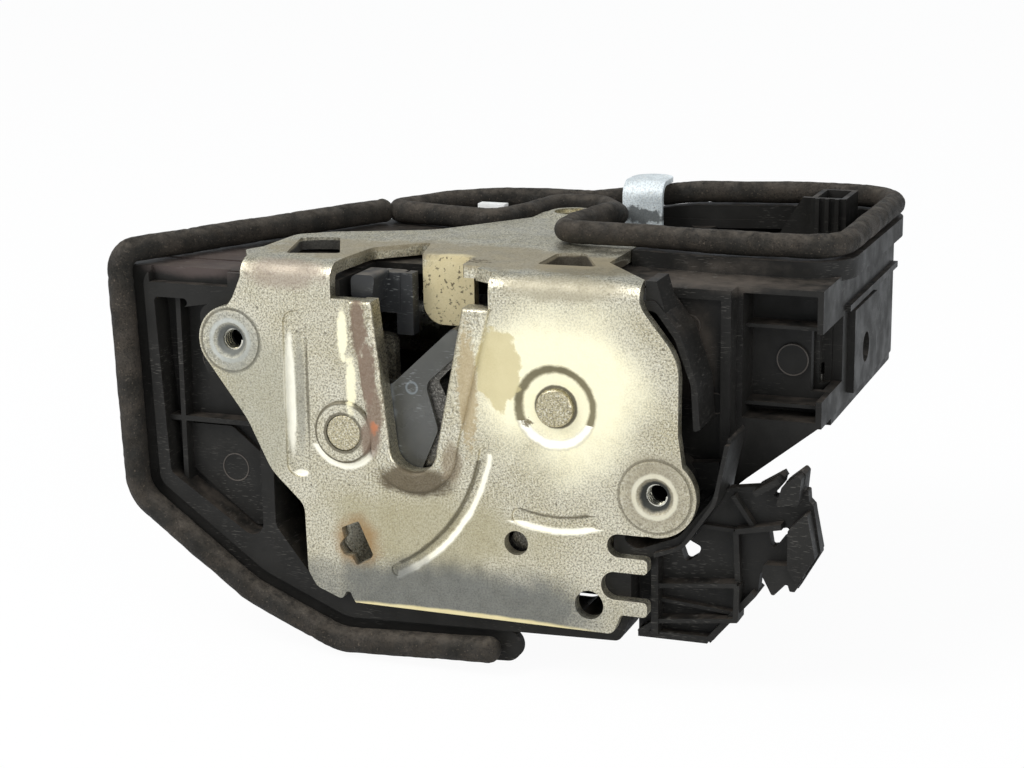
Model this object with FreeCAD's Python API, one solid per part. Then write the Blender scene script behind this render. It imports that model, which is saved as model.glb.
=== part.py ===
"""Car door lock: a rotary latch in a steel bracket, with its plastic actuator housing and foam seals.

Millimetres. X runs across the latch plate, Y into the door, Z up. The origin is the striker's seat at the
bottom of the fishmouth, on the front face of the steel bracket. The latch stands open, as with the door open.
"""
import FreeCAD
import Part
import math
import os

Vec = FreeCAD.Vector
X_AXIS = Vec(1, 0, 0)
Y_AXIS = Vec(0, 1, 0)
Z_AXIS = Vec(0, 0, 1)

# Steel bracket
plate_thick = 2.8
flange_top = 42.0
bend_radius = 4.0
emboss_height = 0.9
m6_left = (-45.3, 23.0)
m6_right = (55.2, -4.4)
m6_minor_radius = 2.5
m6_burr_radius = 4.3
m6_burr_length = 3.4
m6_flare = 1.7
m6_flare_depth = 1.5
ear_ring_height = 0.3
left_ear_radius = 8.0
right_ear_radius = 9.2
pin_hole = (40.2, -30.6)
pin_hole_radius = 3.3
small_hole = (23.3, -18.1)
small_hole_radius = 2.8
key_hole = (-15.3, -21.5)
flange_hole = (10.8, 75.0)
flange_hole_radius = 3.1
flange_dish_radius = 7.8
flange_dish_depth = 0.9
flange_tab_radius = 8.2

# Fishmouth that takes the striker
mouth_bottom_radius = 5.6
mouth_bottom_x = -0.7
mouth_bottom_z = 1.6
mouth_top_left = -10.8
mouth_top_right = 13.2
lip_width = 4.7
lip_wall = 1.9
lip_rise = 1.0
throat_top = 34.3
groove_depth = 0.8

# Tongue bent down behind the fishmouth
tongue_left = -4.8
tongue_right = 7.6
tongue_y = 17.0
tongue_bottom = 26.0

# Pivots of the latch, in the plane of the bracket
catch_pin = (-17.5, 3.8)
pawl_pin = (32.6, 13.5)
pin_radius = 5.0
pin_head_radius = 4.2
pin_shoulder_gap = 0.05
pin_tail_radius = 3.6
pin_tail_end = 22.0
rivet_collar_radius = 7.2
pawl_collar_radius = 7.6
pawl_dish_radius = 9.4
side_gap = 0.4

# Catch, drawn closed about the striker and then opened
catch_thick = 6.0
catch_open_angle = 78.0
catch_seat_radius = 5.8
catch_leg_reach = 19.0
catch_leg_width = 6.0
catch_leg_slope = -35.0
catch_rim_radius = 29.0
catch_floor_radius = 24.3
catch_tooth_angle = -58.0
catch_rim_end_angle = -115.0
catch_half_tooth_angle = -88.0
catch_half_notch_angle = 7.0
catch_body_radius = 21.0
catch_hub_radius = 8.6
skin_thick = 1.0
skin_gap = 0.02

# Pawl, drawn in the notch and then lifted to ride on the rim
pawl_thick = 6.0
pawl_ride_angle = 6.0
pawl_tip_angle = -57.3
pawl_tip_radius = 24.9
pawl_tip_spread = 7.0
pawl_hub_radius = 8.2
pawl_stud = (27.0, -4.0)
pawl_stud_radius = 2.0

# Back plate behind the catch and the pawl
back_gap = 2.2
back_thick = 2.5

# Springs on the pin tails
spring_wire = 1.3
spring_radius = 5.4
spring_turns = 2.5
spring_pitch = 1.7
spring_leg = 9.0

# Levers behind the back plate
release_pin = (20.9, -23.0)
release_tail_reach = 26.0
outside_pin = (-29.0, -9.0)
outside_arm_reach = 25.0
lever_pin_radius = 2.5
lever_thick = 2.0
lever_layer = 0.6
lever_gap = 0.06
lever_hub_radius = 5.5
lever_stud_radius = 1.8

# Latch case: the moulding between bracket and housing
case_top_gap = 0.1
pocket_floor = 9.0
ear_wall = 0.9
ear_wall_front = 1.2
panel_y = 16.4

# Actuator housing
wall = 2.2
deck_top = 38.4
rim_top = flange_top
rim_width = 4.8
housing_floor = 8.0
shell_back = 31.0
right_face = 86.5
box_width = 19.0
box_face = 20.0
box_wall = 1.3
box_recess = 9.0
side_hole_y = 58.0
side_hole_z = 18.0
side_hole_radius = 3.5
notch_height = 15.0
cover_thick = 2.0
screw_radius = 1.5
screw_head_radius = 3.0
screw_length = 10.0

# Foam seals
edge_seal_radius = 3.1
loop_seal_radius = 2.8
seal_gap = 0.25
seal_y = 1.0
seal_lip = 0.6
seal_flange_thick = 2.2
corner_x = -73.8
seal_groove = 1.6
joint = (-37.2, 71.0)

# Lock motor, worm drive and rack
motor_y = 43.0
motor_z = 22.0
motor_left = -35.0
motor_length = 27.0
motor_radius = 9.6
motor_flat = 7.6
shaft_radius = 1.0
bearing_x = 15.4
bearing_thick = 3.0
gear_module = 0.8
wheel_teeth = 36
wheel_thick = 3.0
wheel_x = 6.0
worm_turns = 5
worm_radius = 3.4
worm_depth = 0.7
mesh_gap = 0.2
pinion_module = 1.0
pinion_teeth = 12
pinion_thick = 4.0
pinion_lift = 2.0
rack_teeth = 9
rack_depth = 4.4
lock_travel_angle = 60.0
axle_radius = 2.5
running_gap = 0.05
clip_thick = 0.8
clip_radius = 4.4
tab_left = -13.4
tab_width = 7.0
tab_y = 73.0
tab_thick = 3.0
tab_top = 44.0

# Inside-handle lever in the well
inside_pin = (52.0, 66.0)
inside_lever_z = 28.0
inside_lever_thick = 3.0
inside_lever_reach = 19.0

# Connector
socket_left = 68.4
socket_front = 84.5
socket_width = 8.6
socket_length = 14.0
socket_top = 47.4
socket_floor = 30.0
socket_wall = 1.3
terminal_pitch = 2.54
terminal_size = 0.64
terminal_rows = 2
terminal_columns = 4

# Steel strap over the housing's back wall
strap_left = 19.0
strap_width = 10.4
strap_thick = 1.2
strap_y = 90.0
strap_reach = 14.0
strap_bend = 4.0
strap_foot_z = 27.0

# Switches
switch_length = 12.8
switch_height = 6.4
switch_depth = 5.8
catch_switch_place = (-30.0, -24.0)
pawl_switch_place = (28.0, -28.0)

catch_front = plate_thick + side_gap + 1.0
catch_back = catch_front + catch_thick
back_front = catch_back + back_gap
back_rear = back_front + back_thick
lever_front = back_rear + 1.0
outer_lever_front = lever_front + lever_thick + lever_layer
deck_under = deck_top - wall
box_left = right_face - box_width
strap_end_y = strap_y + strap_reach
case_top = flange_top - bend_radius - case_top_gap
seal_flange_front = seal_y + edge_seal_radius + seal_gap
edge_deck_z = deck_top + seal_gap + edge_seal_radius
loop_deck_z = deck_top + seal_gap + loop_seal_radius
loop_rim_z = rim_top + seal_gap + loop_seal_radius
wheel_radius = gear_module * wheel_teeth / 2
wheel_y = motor_y + worm_radius + wheel_radius
pinion_radius = pinion_module * pinion_teeth / 2
wheel_low = motor_z - wheel_thick / 2
pinion_low = motor_z + wheel_thick / 2
pinion_high = pinion_low + pinion_thick + pinion_lift
rack_line = wheel_y + pinion_radius
slide_travel = pinion_radius * math.radians(lock_travel_angle)


def front(y):
    """Place a drawing (x, z) in the plane of the bracket, at depth y."""
    return lambda u, v: Vec(u, y, v)


def plan(z):
    """Place a drawing (x, y) in a level plane at height z."""
    return lambda u, v: Vec(u, v, z)


def polar(centre, radius, degrees):
    """Return the point at a radius and angle from a centre."""
    turn = math.radians(degrees)
    return (centre[0] + radius * math.cos(turn), centre[1] + radius * math.sin(turn))


def turned(point, centre, degrees):
    """Return a point turned about a centre in the drawing."""
    dx = point[0] - centre[0]
    dy = point[1] - centre[1]
    turn = math.radians(degrees)
    x = centre[0] + dx * math.cos(turn) - dy * math.sin(turn)
    y = centre[1] + dx * math.sin(turn) + dy * math.cos(turn)
    return (x, y) + tuple(point[2:])


def inset(corners, distance):
    """Move every side of an anticlockwise outline inwards by a distance."""
    moved = []
    count = len(corners)
    for index in range(count):
        ax, ay = corners[index - 1][:2]
        bx, by = corners[index][:2]
        cx, cy = corners[(index + 1) % count][:2]
        first = math.hypot(bx - ax, by - ay)
        second = math.hypot(cx - bx, cy - by)
        n1 = (-(by - ay) / first, (bx - ax) / first)
        n2 = (-(cy - by) / second, (cx - bx) / second)
        scale = distance / (1 + n1[0] * n2[0] + n1[1] * n2[1])
        radius = corners[index][2] if len(corners[index]) > 2 else 0
        turn = n1[0] * n2[1] - n1[1] * n2[0]
        grown = max(radius - distance, 0) if turn > 0 else radius + distance
        grown = grown if radius else 0
        moved.append((bx + scale * (n1[0] + n2[0]), by + scale * (n1[1] + n2[1]), grown))
    return moved


def rounded_path(points, closed):
    """Return edges along points (vector, radius), each corner rounded by a tangent arc."""
    count = len(points)
    starts = []
    ends = []
    arcs = []
    for index, (corner, radius) in enumerate(points):
        inner = closed or 0 < index < count - 1
        if not inner or radius <= 0:
            starts.append(corner)
            ends.append(corner)
            arcs.append(None)
            continue
        before = (points[index - 1][0] - corner).normalize()
        after = (points[(index + 1) % count][0] - corner).normalize()
        half = before.getAngle(after) / 2
        reach = radius / math.tan(half)
        first = corner + before * reach
        last = corner + after * reach
        middle = (before + after).normalize()
        crown = corner + middle * (radius / math.sin(half) - radius)
        starts.append(first)
        ends.append(last)
        arcs.append(Part.Arc(first, crown, last).toShape())
    edges = []
    for index in range(count):
        if arcs[index] is not None:
            edges.append(arcs[index])
        following = (index + 1) % count
        if index == count - 1 and not closed:
            break
        if ends[index].distanceToPoint(starts[following]) > 1e-6:
            edges.append(Part.makeLine(ends[index], starts[following]))
    return edges


def outline_face(corners, place):
    """Return a flat face from corners (u, v) or (u, v, radius)."""
    points = [(place(c[0], c[1]), c[2] if len(c) > 2 else 0) for c in corners]
    return Part.Face(Part.Wire(rounded_path(points, True)))


def slab(corners, place, thick):
    """Extrude an outline by a thickness, square to its plane."""
    face = outline_face(corners, place)
    normal = place(1, 0).sub(place(0, 0)).cross(place(0, 1).sub(place(0, 0)))
    along = Vec(abs(normal.x), abs(normal.y), abs(normal.z))
    return face.extrude(along * thick)


def disc(centre, radius, y, thick):
    """Cylinder along Y at (x, z)."""
    return Part.makeCylinder(radius, thick, Vec(centre[0], y, centre[1]), Y_AXIS)


def post(centre, radius, z, height):
    """Cylinder along Z at (x, y)."""
    return Part.makeCylinder(radius, height, Vec(centre[0], centre[1], z), Z_AXIS)


def block(x, y, z, size_x, size_y, size_z):
    """Box from its lowest corner and sizes."""
    return Part.makeBox(size_x, size_y, size_z, Vec(x, y, z))


def stadium(start, end, radius, y, thick):
    """Rounded bar between two points of the bracket's plane."""
    dx = end[0] - start[0]
    dz = end[1] - start[1]
    length = math.hypot(dx, dz)
    nx = -dz / length * radius
    nz = dx / length * radius
    corners = [
        (start[0] + nx, start[1] + nz),
        (start[0] - nx, start[1] - nz),
        (end[0] - nx, end[1] - nz),
        (end[0] + nx, end[1] + nz),
    ]
    bar = slab(corners, front(y), thick)
    return joined([bar, disc(start, radius, y, thick), disc(end, radius, y, thick)])


def joined(shapes):
    """Fuse shapes into one."""
    return shapes[0].multiFuse(shapes[1:]).removeSplitter()


def softened(shape, y, radius):
    """Round the edges of a raised form that lie at depth y."""
    edges = [e for e in shape.Edges if all(abs(v.Y - y) < 1e-4 for v in e.Vertexes)]
    return shape.makeFillet(radius, edges)


def tube(points, radius):
    """Round bar along runs joined by tangent arcs; points are (vector, bend radius)."""
    edges = rounded_path(points, False)
    path = Part.Wire(edges)
    start = points[0][0]
    along = points[1][0] - start
    ring = Part.Wire(Part.makeCircle(radius, start, along))
    return path.makePipeShell([ring], True, False)


def save(shape, name):
    """Write one node."""
    shape.exportStep(os.path.join("parts", name + ".step"))
    solids = len(shape.Solids)
    print(name, "solids", solids, "valid", shape.isValid(), "volume", round(shape.Volume, 1))


def mouth_outline(grow, top):
    """Fishmouth outline, widening to the top, grown sideways by a lip."""
    radius = mouth_bottom_radius + grow
    left_foot = (mouth_bottom_x - radius, mouth_bottom_z)
    right_foot = (mouth_bottom_x + radius, mouth_bottom_z)
    low = mouth_bottom_z - radius
    return [
        (mouth_top_left - grow, top),
        (left_foot[0], left_foot[1], 0),
        (left_foot[0], low, radius * 0.98),
        (right_foot[0], low, radius * 0.98),
        (right_foot[0], right_foot[1], 0),
        (mouth_top_right + grow, top),
    ]


def plate_outline():
    """Outline of the bracket's front face, without its ears."""
    bend_left = -42.2
    bend_right = 51.6
    bottom = -36.3
    finger_end = 53.5
    return [
        (bend_left, flange_top - bend_radius),
        (-44.4, 33.0, 2),
        (-46.2, 30.6, 1.5),
        (-51.6, 24.0, 2),
        (-51.8, 18.4, 3),
        (-41.9, 5.0, 20),
        (-36.2, -6.8, 12),
        (-28.2, -14.4, 4),
        (-27.8, -30.0, 3),
        (-25.8, -33.6, 3),
        (-19.4, bottom + 0.2, 1),
        (-18.4, bottom + 2.2, 0.6),
        (-17.4, bottom + 2.2, 0.4),
        (-16.2, bottom - 0.2, 0.4),
        (45.7, bottom - 0.4, 2),
        (47.5, -32.1, 0.8),
        (finger_end, -32.1, 1.0),
        (finger_end, -28.7, 1.0),
        (43.0, -28.7, 3.1),
        (43.0, -22.3, 3.1),
        (finger_end, -22.3, 1.0),
        (finger_end, -18.9, 1.0),
        (44.4, -18.9, 2.6),
        (44.4, -13.6, 2.6),
        (55.2, -13.6, 5),
        (61.9, -2.0, 4),
        (60.2, 9.5, 8),
        (60.3, 26.0, 12),
        (52.4, 36.0, 7),
        (bend_right, flange_top - bend_radius, 0),
    ]


def flange_outline():
    """Outline of the bracket's top flange, in plan."""
    hole_x, hole_y = flange_hole
    return [
        (-42.2, bend_radius),
        (51.6, bend_radius),
        (38.5, 20.0, 1.5),
        (38.6, 42.0, 2),
        (27.5, 56.0, 4),
        (hole_x + flange_tab_radius, hole_y - 8.0, 3),
        (hole_x + flange_tab_radius, hole_y + flange_tab_radius, flange_tab_radius * 0.98),
        (hole_x - flange_tab_radius, hole_y + flange_tab_radius, flange_tab_radius * 0.98),
        (hole_x - flange_tab_radius, hole_y - 6.0, 3),
        (-14.0, 46.0, 14),
        (-36.0, 37.0, 6),
        (-43.2, 31.5, 4),
        (-43.8, 15.0, 2),
        (-46.0, 10.5, 2),
    ]


def straight_groove(start, end, half_width):
    """Pressed groove with a rounded floor edge, as a solid to cut."""
    return softened(stadium(start, end, half_width, -1, 1 + groove_depth), groove_depth, groove_depth * 0.8)


def curved_groove(centre, radius, start, end, half_width):
    """Pressed groove along an arc, as a solid to cut."""
    depth = 1 + groove_depth
    ring = disc(centre, radius + half_width, -1, depth).cut(disc(centre, radius - half_width, -2, depth + 2))
    reach = 3 * radius
    middle = polar(centre, reach, (start + end) / 2)
    wedge = slab([centre, polar(centre, reach, start), middle, polar(centre, reach, end)], front(-2), depth + 3)
    ends = [disc(polar(centre, radius, angle), half_width, -1, depth) for angle in (start, end)]
    body = joined([ring.common(wedge)] + ends)
    return softened(body, groove_depth, groove_depth * 0.7)


def arc_points(centre, radius, start, end, count):
    """Evenly spaced points on an arc."""
    step = (end - start) / (count - 1)
    return [polar(centre, radius, start + step * i) for i in range(count)]


def key_outline():
    """Outline of the keyed hole: a slanting bar with a small lobe at its left."""
    offsets = [
        (-3.8, 2.7, 0.3), (0.5, 4.6, 0.4), (3.9, -3.0, 0.3), (3.2, -4.2, 0.4), (-0.2, -6.0, 0.3),
        (-1.5, -4.0, 0.3), (-3.2, -3.9, 1.0), (-4.6, -1.6, 1.2), (-3.3, 0.2, 0.3),
    ]
    return [(key_hole[0] + x, key_hole[1] + z, r) for x, z, r in offsets]


def latch_plate():
    """Folded steel bracket with fishmouth, ears, flange and tongue."""
    face = slab(plate_outline(), front(0), plate_thick)
    ears = [
        disc(m6_left, left_ear_radius, 0, plate_thick),
        disc(m6_right, right_ear_radius, 0, plate_thick),
    ]
    under = flange_top - plate_thick
    flange = slab(flange_outline(), plan(under), plate_thick)
    bend_start = Vec(-42.2, bend_radius, flange_top - bend_radius)
    bend_outer = Part.makeCylinder(bend_radius, 93.8, bend_start, X_AXIS)
    bend_inner = Part.makeCylinder(bend_radius - plate_thick, 93.8, bend_start, X_AXIS)
    quarter = block(-42.2, 0, flange_top - bend_radius, 93.8, bend_radius, bend_radius)
    bend = bend_outer.cut(bend_inner).common(quarter)
    body = joined([face, flange, bend] + ears)
    body = body.cut(slab(mouth_outline(0, flange_top + 1), front(-1), bend_radius + plate_thick + 2))
    flange_cut = [
        (-20.0, -1.0), (17.5, -1.0), (17.5, 3.0, 1.5), (8.4, 8.0, 2), (tongue_right, tongue_y, 1.5),
        (tongue_left, tongue_y), (-8.5, 31.5, 1.5), (-19.0, 21.0, 4), (-20.0, 8.0, 3),
    ]
    body = body.cut(slab(flange_cut, plan(throat_top), flange_top - throat_top + 1))
    collar = slab(mouth_outline(lip_width, throat_top), front(-lip_rise), lip_rise + plate_thick / 2)
    collar = collar.cut(slab(mouth_outline(0, flange_top), front(-lip_rise - 1), plate_thick + 2))
    collar = softened(collar, -lip_rise, lip_rise * 0.85)
    lip_depth = catch_front - side_gap - plate_thick / 2
    inner_lip = slab(mouth_outline(lip_wall, throat_top), front(plate_thick / 2), lip_depth)
    throat = slab(mouth_outline(0, flange_top), front(-lip_rise - 1), lip_depth + plate_thick + 2)
    body = body.fuse(collar).fuse(inner_lip).cut(throat)
    tongue = block(tongue_left, tongue_y, tongue_bottom, tongue_right - tongue_left, plate_thick,
                   flange_top - tongue_bottom)
    tongue = tongue.makeFillet(5.0, [e for e in tongue.Edges if e.BoundBox.ZMax < tongue_bottom + 0.1
                                     and e.BoundBox.YLength > 1])
    top_edges = [e for e in tongue.Edges if e.BoundBox.ZMin > flange_top - 0.1]
    crown = [e for e in top_edges if e.BoundBox.YMax < tongue_y + 0.1]
    body = body.fuse(tongue.makeFillet(plate_thick * 0.9, crown))
    rings = [
        softened(disc(catch_pin, rivet_collar_radius, -emboss_height, emboss_height + 1), -emboss_height, 0.7),
        softened(disc(m6_left, left_ear_radius - 0.9, -ear_ring_height, 1.5), -ear_ring_height, 0.25),
        softened(disc(m6_right, right_ear_radius - 1.2, -ear_ring_height, 1.5), -ear_ring_height, 0.25),
    ]
    body = body.multiFuse(rings)
    grooves = [
        straight_groove((-29.1, 28.0), (-29.3, -4.8), 3.0),
        curved_groove((-23.3, 8.4), 40.1, -63.5, -9.4, 1.5),
        curved_groove((32.5, 15.5), 28.5, -106.7, -74.8, 2.0),
    ]
    for groove in grooves:
        body = body.cut(groove)
    dish = Part.makeCone(pawl_dish_radius, pawl_collar_radius, emboss_height,
                         Vec(pawl_pin[0], -0.01, pawl_pin[1]), Y_AXIS)
    body = body.cut(dish)
    for centre in (m6_left, m6_right):
        burr = disc(centre, m6_burr_radius, plate_thick / 2, plate_thick / 2 + m6_burr_length)
        body = body.fuse(burr).cut(disc(centre, m6_minor_radius, -2, 12))
        flare = Part.makeCone(m6_minor_radius + m6_flare, m6_minor_radius, m6_flare_depth,
                              Vec(centre[0], -ear_ring_height - 0.01, centre[1]), Y_AXIS)
        body = body.cut(flare)
    for centre, radius in ((pin_hole, pin_hole_radius), (small_hole, small_hole_radius)):
        body = body.cut(disc(centre, radius, -2, 6))
    body = body.cut(slab(key_outline(), front(-2), 6))
    for centre in (catch_pin, pawl_pin):
        body = body.cut(disc(centre, pin_head_radius, -2, 6))
    hole_x, hole_y = flange_hole
    dish_rim = Part.makeCone(flange_dish_radius, flange_dish_radius - 2.2, flange_dish_depth,
                             Vec(hole_x, hole_y, flange_top - 0.001), Z_AXIS)
    dish_well = Part.makeCone(flange_hole_radius + 1.4, flange_dish_radius - 3.4, flange_dish_depth + 0.002,
                              Vec(hole_x, hole_y, flange_top), Z_AXIS)
    body = body.fuse(dish_rim).cut(dish_well)
    body = body.cut(post(flange_hole, flange_hole_radius, under - 1, plate_thick + 4))
    left_window = [(-35.2, 9.4, 1), (-23.2, 12.6, 1), (-31.4, 30.4, 1.5), (-40.3, 28.0, 1.5)]
    right_window = [(23.8, 13.8, 1), (37.4, 14.6, 1), (30.2, 28.4, 1.5), (24.0, 26.6, 1.5)]
    for window in (left_window, right_window):
        body = body.cut(slab(window, plan(under - 1), plate_thick + 2))
    return body.removeSplitter()


def back_outline():
    """Outline of the rear plate, open at the top for the striker."""
    gap = mouth_bottom_radius + 4.0
    return [
        (-34.5, 24.0, 5), (-34.5, -16.0, 6), (-20.0, -31.5, 5), (38.0, -31.5, 5),
        (43.0, -16.0, 5), (43.0, 27.0, 6), (22.0, 27.0, 5), (gap + 5.0, 18.0, 4),
        (gap, mouth_bottom_z - 6.0, 5), (-gap, mouth_bottom_z - 10.0, 5), (-gap - 0.5, 24.0, 2),
    ]


def stud_slot_points():
    """End points of the arc slot in which the pawl's stud swings."""
    return [turned(pawl_stud, pawl_pin, angle) for angle in (-9.0, 8.0)]


def back_plate():
    """Flat steel plate riveted behind the catch and the pawl."""
    body = slab(back_outline(), front(back_front), back_thick)
    for centre in (catch_pin, pawl_pin):
        body = body.cut(disc(centre, pin_tail_radius, back_front - 1, back_thick + 2))
    start, end = stud_slot_points()
    body = body.cut(stadium(start, end, pawl_stud_radius + 0.6, back_front - 1, back_thick + 2))
    for centre in (release_pin, outside_pin):
        body = body.cut(disc(centre, lever_pin_radius - 0.5, back_front - 1, back_thick + 2))
    return body


def riveted_pin(centre):
    """Stepped pin: head in the bracket, bearing shank, shoulder and tail through the rear plate."""
    head = disc(centre, pin_head_radius, -0.9, plate_thick + 0.9)
    head = softened(head, -0.9, 0.6)
    shank = disc(centre, pin_radius, plate_thick, back_front - plate_thick)
    tail = disc(centre, pin_tail_radius, back_front, pin_tail_end - back_front)
    return joined([head, shank, tail])


def catch_outline():
    """Catch drawn closed about the striker at the origin."""
    seat = catch_seat_radius
    down = math.radians(catch_leg_slope)
    along = (math.cos(down), math.sin(down))
    normal = (math.sin(down), -math.cos(down))
    low = (seat * normal[0], seat * normal[1])
    tip = (low[0] + along[0] * catch_leg_reach, low[1] + along[1] * catch_leg_reach)
    heel = (tip[0] + normal[0] * catch_leg_width, tip[1] + normal[1] * catch_leg_width)
    crotch = polar(catch_pin, catch_floor_radius, -47.5)
    rim_points = arc_points(catch_pin, catch_rim_radius, catch_tooth_angle, catch_half_tooth_angle + 7.0, 3)
    half_floor = [
        polar(catch_pin, catch_floor_radius + 1.5, catch_half_tooth_angle + catch_half_notch_angle - 1.5),
        polar(catch_pin, catch_floor_radius + 1.5, catch_half_tooth_angle),
    ]
    rear_rim = arc_points(catch_pin, catch_rim_radius, catch_half_tooth_angle, catch_rim_end_angle + 6.0, 4)
    ramp = [
        polar(catch_pin, catch_floor_radius, catch_rim_end_angle),
        polar(catch_pin, catch_floor_radius, catch_rim_end_angle - 9.0),
        polar(catch_pin, catch_floor_radius - 0.4, catch_rim_end_angle - 17.0),
    ]
    back = [
        polar(catch_pin, catch_body_radius * 0.86, -160.0) + (8,),
        polar(catch_pin, catch_body_radius * 0.74, 155.0) + (8,),
        polar(catch_pin, catch_body_radius * 0.86, 105.0) + (8,),
    ]
    upper = [
        polar(catch_pin, 25.0, 30.0) + (3,),
        polar(catch_pin, 25.2, 6.0) + (1.5,),
        (2.5, seat + 0.25, 0),
    ]
    seat_arc = [
        (-seat * 0.35, seat + 0.1, seat * 0.55),
        (-seat, seat * 0.55, seat * 0.5),
        (-seat, -seat * 0.45, seat * 0.55),
        (low[0] - along[0] * 0.6, low[1] - along[1] * 0.6, seat * 0.4),
    ]
    points = [tip + (1.4,), heel + (1.4,), crotch + (1.0,)]
    points += [polar(catch_pin, catch_floor_radius, catch_tooth_angle)]
    points += rim_points + half_floor + rear_rim + ramp + back + upper + seat_arc
    return list(reversed(points))


def opened(shape):
    """Turn a closed catch piece to the open stop."""
    turned_shape = shape.copy()
    turned_shape.rotate(Vec(catch_pin[0], 0, catch_pin[1]), Y_AXIS, -catch_open_angle)
    return turned_shape


def catch_core():
    """Steel catch."""
    body = slab(catch_outline(), front(catch_front + skin_thick), catch_thick - 2 * skin_thick)
    hub = disc(catch_pin, catch_hub_radius, catch_front, catch_thick)
    body = body.fuse(hub)
    bore = disc(catch_pin, pin_radius + pin_shoulder_gap, catch_front - 1, catch_thick + 2)
    return opened(body.cut(bore).removeSplitter())


def skin_outline():
    """Outline of the plastic skin: the catch without its bare steel teeth."""
    keep = [
        (14.5, -18.0, 1), (14.5, -10.0, 1), (8.0, 12.0, 1), (-2.0, 20.5, 4), (-24.0, 22.5, 6),
                (-36.0, 10.0, 6),
        (-36.0, -8.0, 4), (-24.0, -14.0, 4), (-12.0, -16.5, 3), (-2.5, -11.5, 3), (8.0, -19.0, 1),
    ]
    return keep


def catch_skin(y):
    """Plastic skin moulded on one face of the catch."""
    window = slab(skin_outline(), front(y - 1), skin_thick + 2)
    face = slab(catch_outline(), front(y), skin_thick - skin_gap).common(window)
    hub = disc(catch_pin, catch_hub_radius + skin_gap, y - 1, skin_thick + 2)
    return opened(face.cut(hub))


def pawl_outline():
    """Pawl drawn with its nose in the catch's notch."""
    tip_left = polar(catch_pin, pawl_tip_radius, pawl_tip_angle)
    tip_right = polar(catch_pin, pawl_tip_radius, pawl_tip_angle + pawl_tip_spread)
    flank = polar(catch_pin, catch_rim_radius + 2.6, pawl_tip_angle)
    hub_left = polar(pawl_pin, pawl_hub_radius, 200.0)
    hub_right = polar(pawl_pin, pawl_hub_radius, -20.0)
    return [
        tip_left + (0.5,),
        flank + (0.8,),
        (2.4, -26.2, 3),
        (10.0, -29.0, 5),
        (21.0, -24.0, 8),
        (32.5, -9.0, 10),
        hub_right,
        hub_left,
        (22.6, -3.0, 6),
        (18.0, -16.5, 8),
        (9.6, -23.2, 3),
        (3.6, -19.6, 2),
        tip_right + (0.5,),
    ]


def riding(shape):
    """Lift a pawl piece until its nose rides on the catch's rim."""
    lifted = shape.copy()
    lifted.rotate(Vec(pawl_pin[0], 0, pawl_pin[1]), Y_AXIS, -pawl_ride_angle)
    return lifted


def pawl():
    """Steel pawl with its stud for the release lever."""
    body = slab(pawl_outline(), front(catch_front), pawl_thick)
    body = body.fuse(disc(pawl_pin, pawl_hub_radius, catch_front, pawl_thick))
    body = body.cut(disc(pawl_pin, pin_radius + pin_shoulder_gap, catch_front - 1, pawl_thick + 2))
    body = riding(body)
    stud_length = lever_front + lever_thick + 0.8 - catch_back + 0.5
    return body.fuse(disc(pawl_stud, pawl_stud_radius, catch_back - 0.5, stud_length)).removeSplitter()


def torsion_spring(centre, turn):
    """Coil of round wire with two straight legs, drawn along one smooth path of short bends."""
    start_y = back_rear + 0.8 + spring_wire / 2
    steps = 6
    part = 2 * math.pi / steps
    outer = spring_radius / math.cos(part / 2)
    coil = []
    for i in range(round(spring_turns * steps) + 1):
        coil.append(Vec(outer * math.cos(part * i), outer * math.sin(part * i), spring_pitch * i / steps))
    first_way = (coil[0] - coil[1]).normalize()
    last_way = (coil[-1] - coil[-2]).normalize()
    corners = [coil[1] + first_way * spring_leg] + coil[1:-1] + [coil[-2] + last_way * spring_leg]
    body = tube([(place, spring_radius * 0.98) for place in corners], spring_wire / 2)
    body.rotate(Vec(0, 0, 0), X_AXIS, -90)
    body.rotate(Vec(0, 0, 0), Y_AXIS, turn)
    body.translate(Vec(centre[0], start_y, centre[1]))
    return body


def release_tail():
    """Place of the stud on the release lever's tail, on the line between both lever pins."""
    dx = outside_pin[0] - release_pin[0]
    dz = outside_pin[1] - release_pin[1]
    share = release_tail_reach / math.hypot(dx, dz)
    return (release_pin[0] + dx * share, release_pin[1] + dz * share)


def slot_cut(stud, pivot, radius, y, thick):
    """Short slot about a stud, along the line to the lever's pivot."""
    length = math.hypot(stud[0] - pivot[0], stud[1] - pivot[1])
    unit = ((stud[0] - pivot[0]) / length, (stud[1] - pivot[1]) / length)
    low = (stud[0] - unit[0] * 0.9, stud[1] - unit[1] * 0.9)
    high = (stud[0] + unit[0] * 0.9, stud[1] + unit[1] * 0.9)
    return stadium(low, high, radius, y - 1, thick + 2)


def release_lever():
    """Two-armed lever: its slot takes the pawl's stud and its tail carries a stud for the outside lever."""
    tail = release_tail()
    body = joined([
        stadium(release_pin, pawl_stud, 4.4, lever_front, lever_thick),
        stadium(release_pin, tail, 3.4, lever_front, lever_thick),
        disc(release_pin, lever_hub_radius, lever_front, lever_thick),
    ])
    body = body.cut(slot_cut(pawl_stud, release_pin, pawl_stud_radius + 0.25, lever_front, lever_thick))
    body = body.cut(disc(release_pin, lever_pin_radius + lever_gap, lever_front - 1, lever_thick + 2))
    stud_length = lever_thick * 2 + lever_layer + 0.6
    return body.fuse(disc(tail, lever_stud_radius, lever_front, stud_length)).removeSplitter()


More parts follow.
